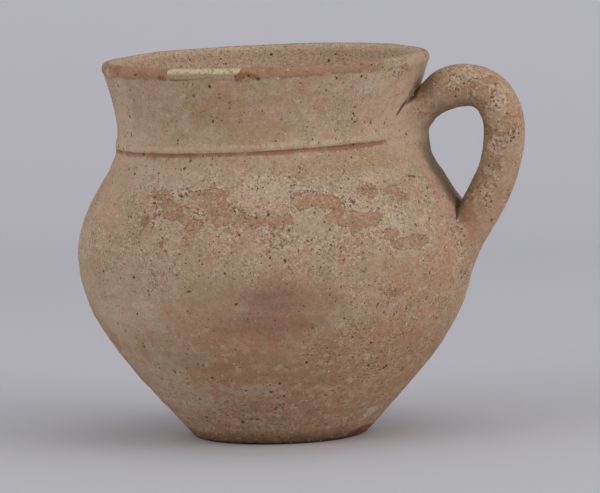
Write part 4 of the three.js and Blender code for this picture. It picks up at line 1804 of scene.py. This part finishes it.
        corners = (
            (angle_start, run_start, out_start),
            (middle[:, 0] / radius, middle[:, 1], raised),
            (landing[:, 0] / radius, landing[:, 1], np.full(len(turn), -0.3)),
        )
        angle, run, out = (
            sum(share * corner[k][None, :] for share, corner in zip(shares, corners))
            for k in range(3)
        )
        foot, _ = wall.point(angle, run, 0.0)
        relief = self.wear.relief(foot, self.wear.read(foot))
        _, points = wall.point(angle, run, out + relief * ramp(t, 0.0, 0.5))
        # The crisp edge of a root darkens towards its landing: soiling and painted shade
        soiled_and_shaded = crisp[None, :] * ramp(t - root.soiled_and_shaded_from, 0.0, 0.35)
        inner = wall.point(angle[0], run[0], np.full(len(turn), -2.0))[1]
        if lower:
            points, foot, soiled_and_shaded = points[::-1], foot[::-1], soiled_and_shaded[::-1]
        return {"points": points, "foot": foot, "soiled_and_shaded": soiled_and_shaded, "start": start, "inner": inner}

    def build(self) -> bpy.types.Object:
        """Joins the upper root, the rod and the lower root into one skin."""
        line = self.centreline()
        turn = -np.linspace(0.0, TURN, self.around, endpoint=False)
        upper = self.root(self.upper, line, turn, lower=False)
        lower = self.root(self.lower, line, turn, lower=True)
        share = np.linspace(0.0, 1.0, self.rows)[1:-1, None]
        along = blend(upper["start"][None, :], lower["start"][None, :], share)
        rod = self.rod(along, turn[None, :], line)
        rise = 0.07 * Cloud(3.0, 104, 3).at(rod) - 0.4 * Strewn(4.0, 0.8, 0.25, 105).at(rod)
        out = rod - rod.mean(axis=1, keepdims=True)
        out /= np.linalg.norm(out, axis=-1, keepdims=True)
        body = rod + out * rise[..., None] * np.sin(math.pi * share)[..., None] ** 0.3
        grid = np.concatenate([
            upper["inner"][None], upper["points"], body, lower["points"], lower["inner"][None],
        ])
        leaving = np.linspace(0.0, 1.0, self.root_rows)
        off = ended(leaving, np.ones(self.rows - 2), leaving[::-1])[:, None]
        starts = (np.tile(end["start"], (self.root_rows, 1)) for end in (upper, lower))
        length = ended(next(starts), along, next(starts))
        marks = self.wear.read(ended(upper["foot"], rod, lower["foot"]))
        own = self.read(grid, length, np.broadcast_to(turn[None, :], length.shape))
        rolled = ramp(off, 0.25, 0.85)
        for mark, values in marks.items():
            share = rolled if values.ndim == 2 else rolled[..., None]
            marks[mark] = blend(values, own.get(mark, 0.0), share)
        soiled_and_shaded = ended(upper["soiled_and_shaded"], np.zeros_like(along), lower["soiled_and_shaded"])
        # The crevices at the roots are darkened: soiling and painted shade
        marks["soil_and_shade"] = np.maximum(soiled_and_shaded, ramp(furthest(CREVICES, grid), 0.0, 0.8))
        return skin("rolled_handle", self.settling.moved(grid, self.outline), marks)

    def read(self, points: Array, length: Array, turn: Array) -> dict[str, Array]:
        """Reads the rod's own marks.

        Args:
            points: The places on its skin, as rolled.
            length: Of each along the rod.
            turn: Of each round it, in radians from the loop's outer side.

        Returns:
            The amounts that are not 0 all over it, by name.
        """
        crumble = Cloud(2.4, 106, 2).at(points)
        soft = Cloud(7.0, 107, 2).at(points)
        flaking = np.maximum(furthest(ROD_BARE, points), 1.5 * soft - 0.55) + 0.6 * crumble
        flaking = np.minimum(flaking, -1.3 * furthest(ROD_CRUST, points))
        flaking = flaking - 2.0 * ramp(points[..., 0], 53.0, 48.0) * ramp(points[..., 2], 84.0, 87.0)
        # The rod's inner side and its top by the neck are darkened: soiling and painted shade
        inner_face = ramp(-np.cos(turn) + 0.3 * soft, 0.15, 0.8)
        shaded = ramp(ROD_SHADED.reach(points), -0.1, 0.8)
        rough = 0.26 + 0.25 * ramp(points[..., 2], 82.0, 94.0) + 0.4 * soft + 0.4 * crumble
        strewn = Strewn(4.0, 0.7, 0.2, 105).at(points)
        return {
            "worn": 0.5 + 0.5 * np.clip(flaking, -1.0, 1.0),
            "crust": 0.75 * ramp(furthest(ROD_CRUST, points) + 0.5 * crumble, -0.25, 0.3),
            "scale": 0.4 * ramp(soft + 0.5 * crumble, 0.25, 0.7),
            "pit": np.clip(np.maximum(strewn, 1.4 * furthest(ROD_PITS, points)), 0.0, 1.0),
            "salmon": ramp(Cloud(9.0, 108, 2).at(points), 0.0, 0.5),
            "clean_and_lit": np.full_like(length, 0.3),
            "warm": np.full_like(length, 0.6),
            "rough": np.clip(rough, 0.05, 0.85),
            "grime_and_shade": np.maximum(0.45 * inner_face, 0.85 * shaded),
            "grain": np.stack([4.0 * np.cos(turn), 4.0 * np.sin(turn), length / 24.0], axis=-1),
        }


# The studio


@dataclass(frozen=True)
class Softbox:
    """A square softbox that faces the cup.

    Attributes:
        name: The light's name.
        place: Of its middle.
        size: Of its side.
        watts: Its power.
    """

    name: str
    place: tuple[float, float, float]
    size: float
    watts: float

    def build(self) -> None:
        """Hangs it and turns its face to the middle of the cup."""
        lamp = bpy.data.lights.new(self.name, "AREA")
        lamp.shape = "SQUARE"
        lamp.size = self.size * MM
        lamp.energy = self.watts
        box = linked(self.name, lamp)
        box.location = Vector(self.place) * MM
        way = Vector(CUP_MIDDLE) * MM - box.location
        box.rotation_euler = way.to_track_quat("-Z", "Y").to_euler()


@dataclass(frozen=True)
class Studio:
    """Seamless paper, soft light from above and the camera.

    Attributes:
        azimuth: Of the camera, round the cup from straight in front.
        elevation: Of the camera.
        roll: Of the camera, in radians.
        distance: From the camera to where it looks.
        look_right: Where it looks, to the right of the cup's axis.
        look_up: Where it looks, above the table.
        focal_pixels: The focal length in pixels of the picture.
        picture_width: In pixels.
        sensor: The width of the camera's sensor.
        far: How far the camera sees.
        paper_front: Where the paper begins, in front of the cup.
        paper_half: Half the paper's width.
        bend_start: Where it begins to bend up, behind the cup.
        bend_radius: Of the bend.
        bend_steps: Straight steps that the bend is made of.
        paper_top: How high it hangs.
        surround: Strength of the white light from all round.
        softboxes: The lights.
    """

    azimuth: float = 15.0
    elevation: float = 5.9
    roll: float = 0.028
    distance: float = 1780.0
    look_right: float = 6.63
    look_up: float = 51.4
    focal_pixels: float = 6496.0
    picture_width: float = 600.0
    sensor: float = 36.0
    far: float = 20000.0
    paper_front: float = -2600.0
    paper_half: float = 2600.0
    bend_start: float = 450.0
    bend_radius: float = 600.0
    bend_steps: int = 24
    paper_top: float = 1400.0
    surround: float = 0.48
    softboxes: tuple[Softbox, ...] = (
        Softbox("right_front", (1920.0, -512.0, 690.0), 1600.0, 20.0),
        Softbox("left_front", (-1408.0, -1408.0, 690.0), 1600.0, 13.3),
        Softbox("overhead", (250.0, 0.0, 1300.0), 1000.0, 1.5),
    )

    def axes(self) -> tuple[Vector, Vector, Vector]:
        """The camera's right, up and backward directions before its roll."""
        turn, lift = math.radians(self.azimuth), math.radians(self.elevation)
        level = math.cos(lift)
        back = Vector((math.sin(turn) * level, -math.cos(turn) * level, math.sin(lift)))
        right = Vector((math.cos(turn), math.sin(turn), 0.0))
        return right, back.cross(right), back

    def build_camera(self) -> None:
        """Sets the camera, rolled a little as the picture is."""
        right, up, back = self.axes()
        target = right * self.look_right + Vector((0.0, 0.0, self.look_up))
        across = right * math.cos(self.roll) - up * math.sin(self.roll)
        upright = right * math.sin(self.roll) + up * math.cos(self.roll)
        lens = bpy.data.cameras.new("camera")
        lens.sensor_width = self.sensor
        lens.lens = self.focal_pixels / self.picture_width * self.sensor
        lens.clip_end = self.far * MM
        camera = linked("camera", lens)
        place = Matrix((across, upright, back)).transposed().to_4x4()
        place.translation = (target + back * self.distance) * MM
        camera.matrix_world = place
        bpy.context.scene.camera = camera

    def build_paper(self, material: bpy.types.Material) -> None:
        """The sweep: a flat floor that turns up behind in a quarter round, square to the camera.

        Args:
            material: The paper's.
        """
        floor = np.array([(self.paper_front, 0.0), (self.bend_start, 0.0)])
        bend = np.radians(np.linspace(-90.0, 0.0, self.bend_steps + 1)[1:])
        curve = self.bend_radius * np.stack([np.cos(bend), 1.0 + np.sin(bend)], axis=1)
        curve[:, 0] += self.bend_start
        line = np.concatenate([floor, curve, [(self.bend_start + self.bend_radius, self.paper_top)]])
        turn = math.radians(self.azimuth)
        width = np.array([[-self.paper_half, self.paper_half]])
        x = width * math.cos(turn) - line[:, :1] * math.sin(turn)
        y = width * math.sin(turn) + line[:, :1] * math.cos(turn)
        points = np.stack(np.broadcast_arrays(x, y, line[:, 1:]), axis=-1).reshape(-1, 3)
        faces = [(2 * k, 2 * k + 1, 2 * k + 3, 2 * k + 2) for k in range(len(line) - 1)]
        paper = linked("paper_sweep", smooth_mesh("paper_sweep", points, faces))
        paper.data.materials.append(material)

    def build_light(self) -> None:
        """Hangs the softboxes and sets an even white surround."""
        for box in self.softboxes:
            box.build()
        world = bpy.data.worlds.new("surround")
        world.use_nodes = True
        shade = world.node_tree.nodes["Background"]
        shade.inputs["Color"].default_value = (1.0, 1.0, 1.0, 1.0)
        shade.inputs["Strength"].default_value = self.surround
        bpy.context.scene.world = world
        bpy.context.scene.view_settings.view_transform = "Standard"


def main() -> None:
    """Builds and dresses the cup, then the studio round it."""
    logging.basicConfig(level=logging.INFO, format="%(message)s")
    outline, settling, chip = Outline(), Settling(), RimChip()
    wear = Wear(outline)
    clay, plaster = SlippedEarthenware().material(), FillPlaster().material()
    seat(ThrownBowl(outline, wear, settling).build(), "bowl", clay)
    seat(LutedCollar(outline, wear, settling, chip).build(), "neck_collar", clay)
    seat(RolledHandle(outline, wear, settling).build(), "handle", clay)
    seat(PlasterFill(outline, settling, chip).build(), "rim_fill", plaster)
    studio = Studio()
    studio.build_paper(StudioPaper().material())
    studio.build_light()
    studio.build_camera()


if __name__ == "__main__":
    main()
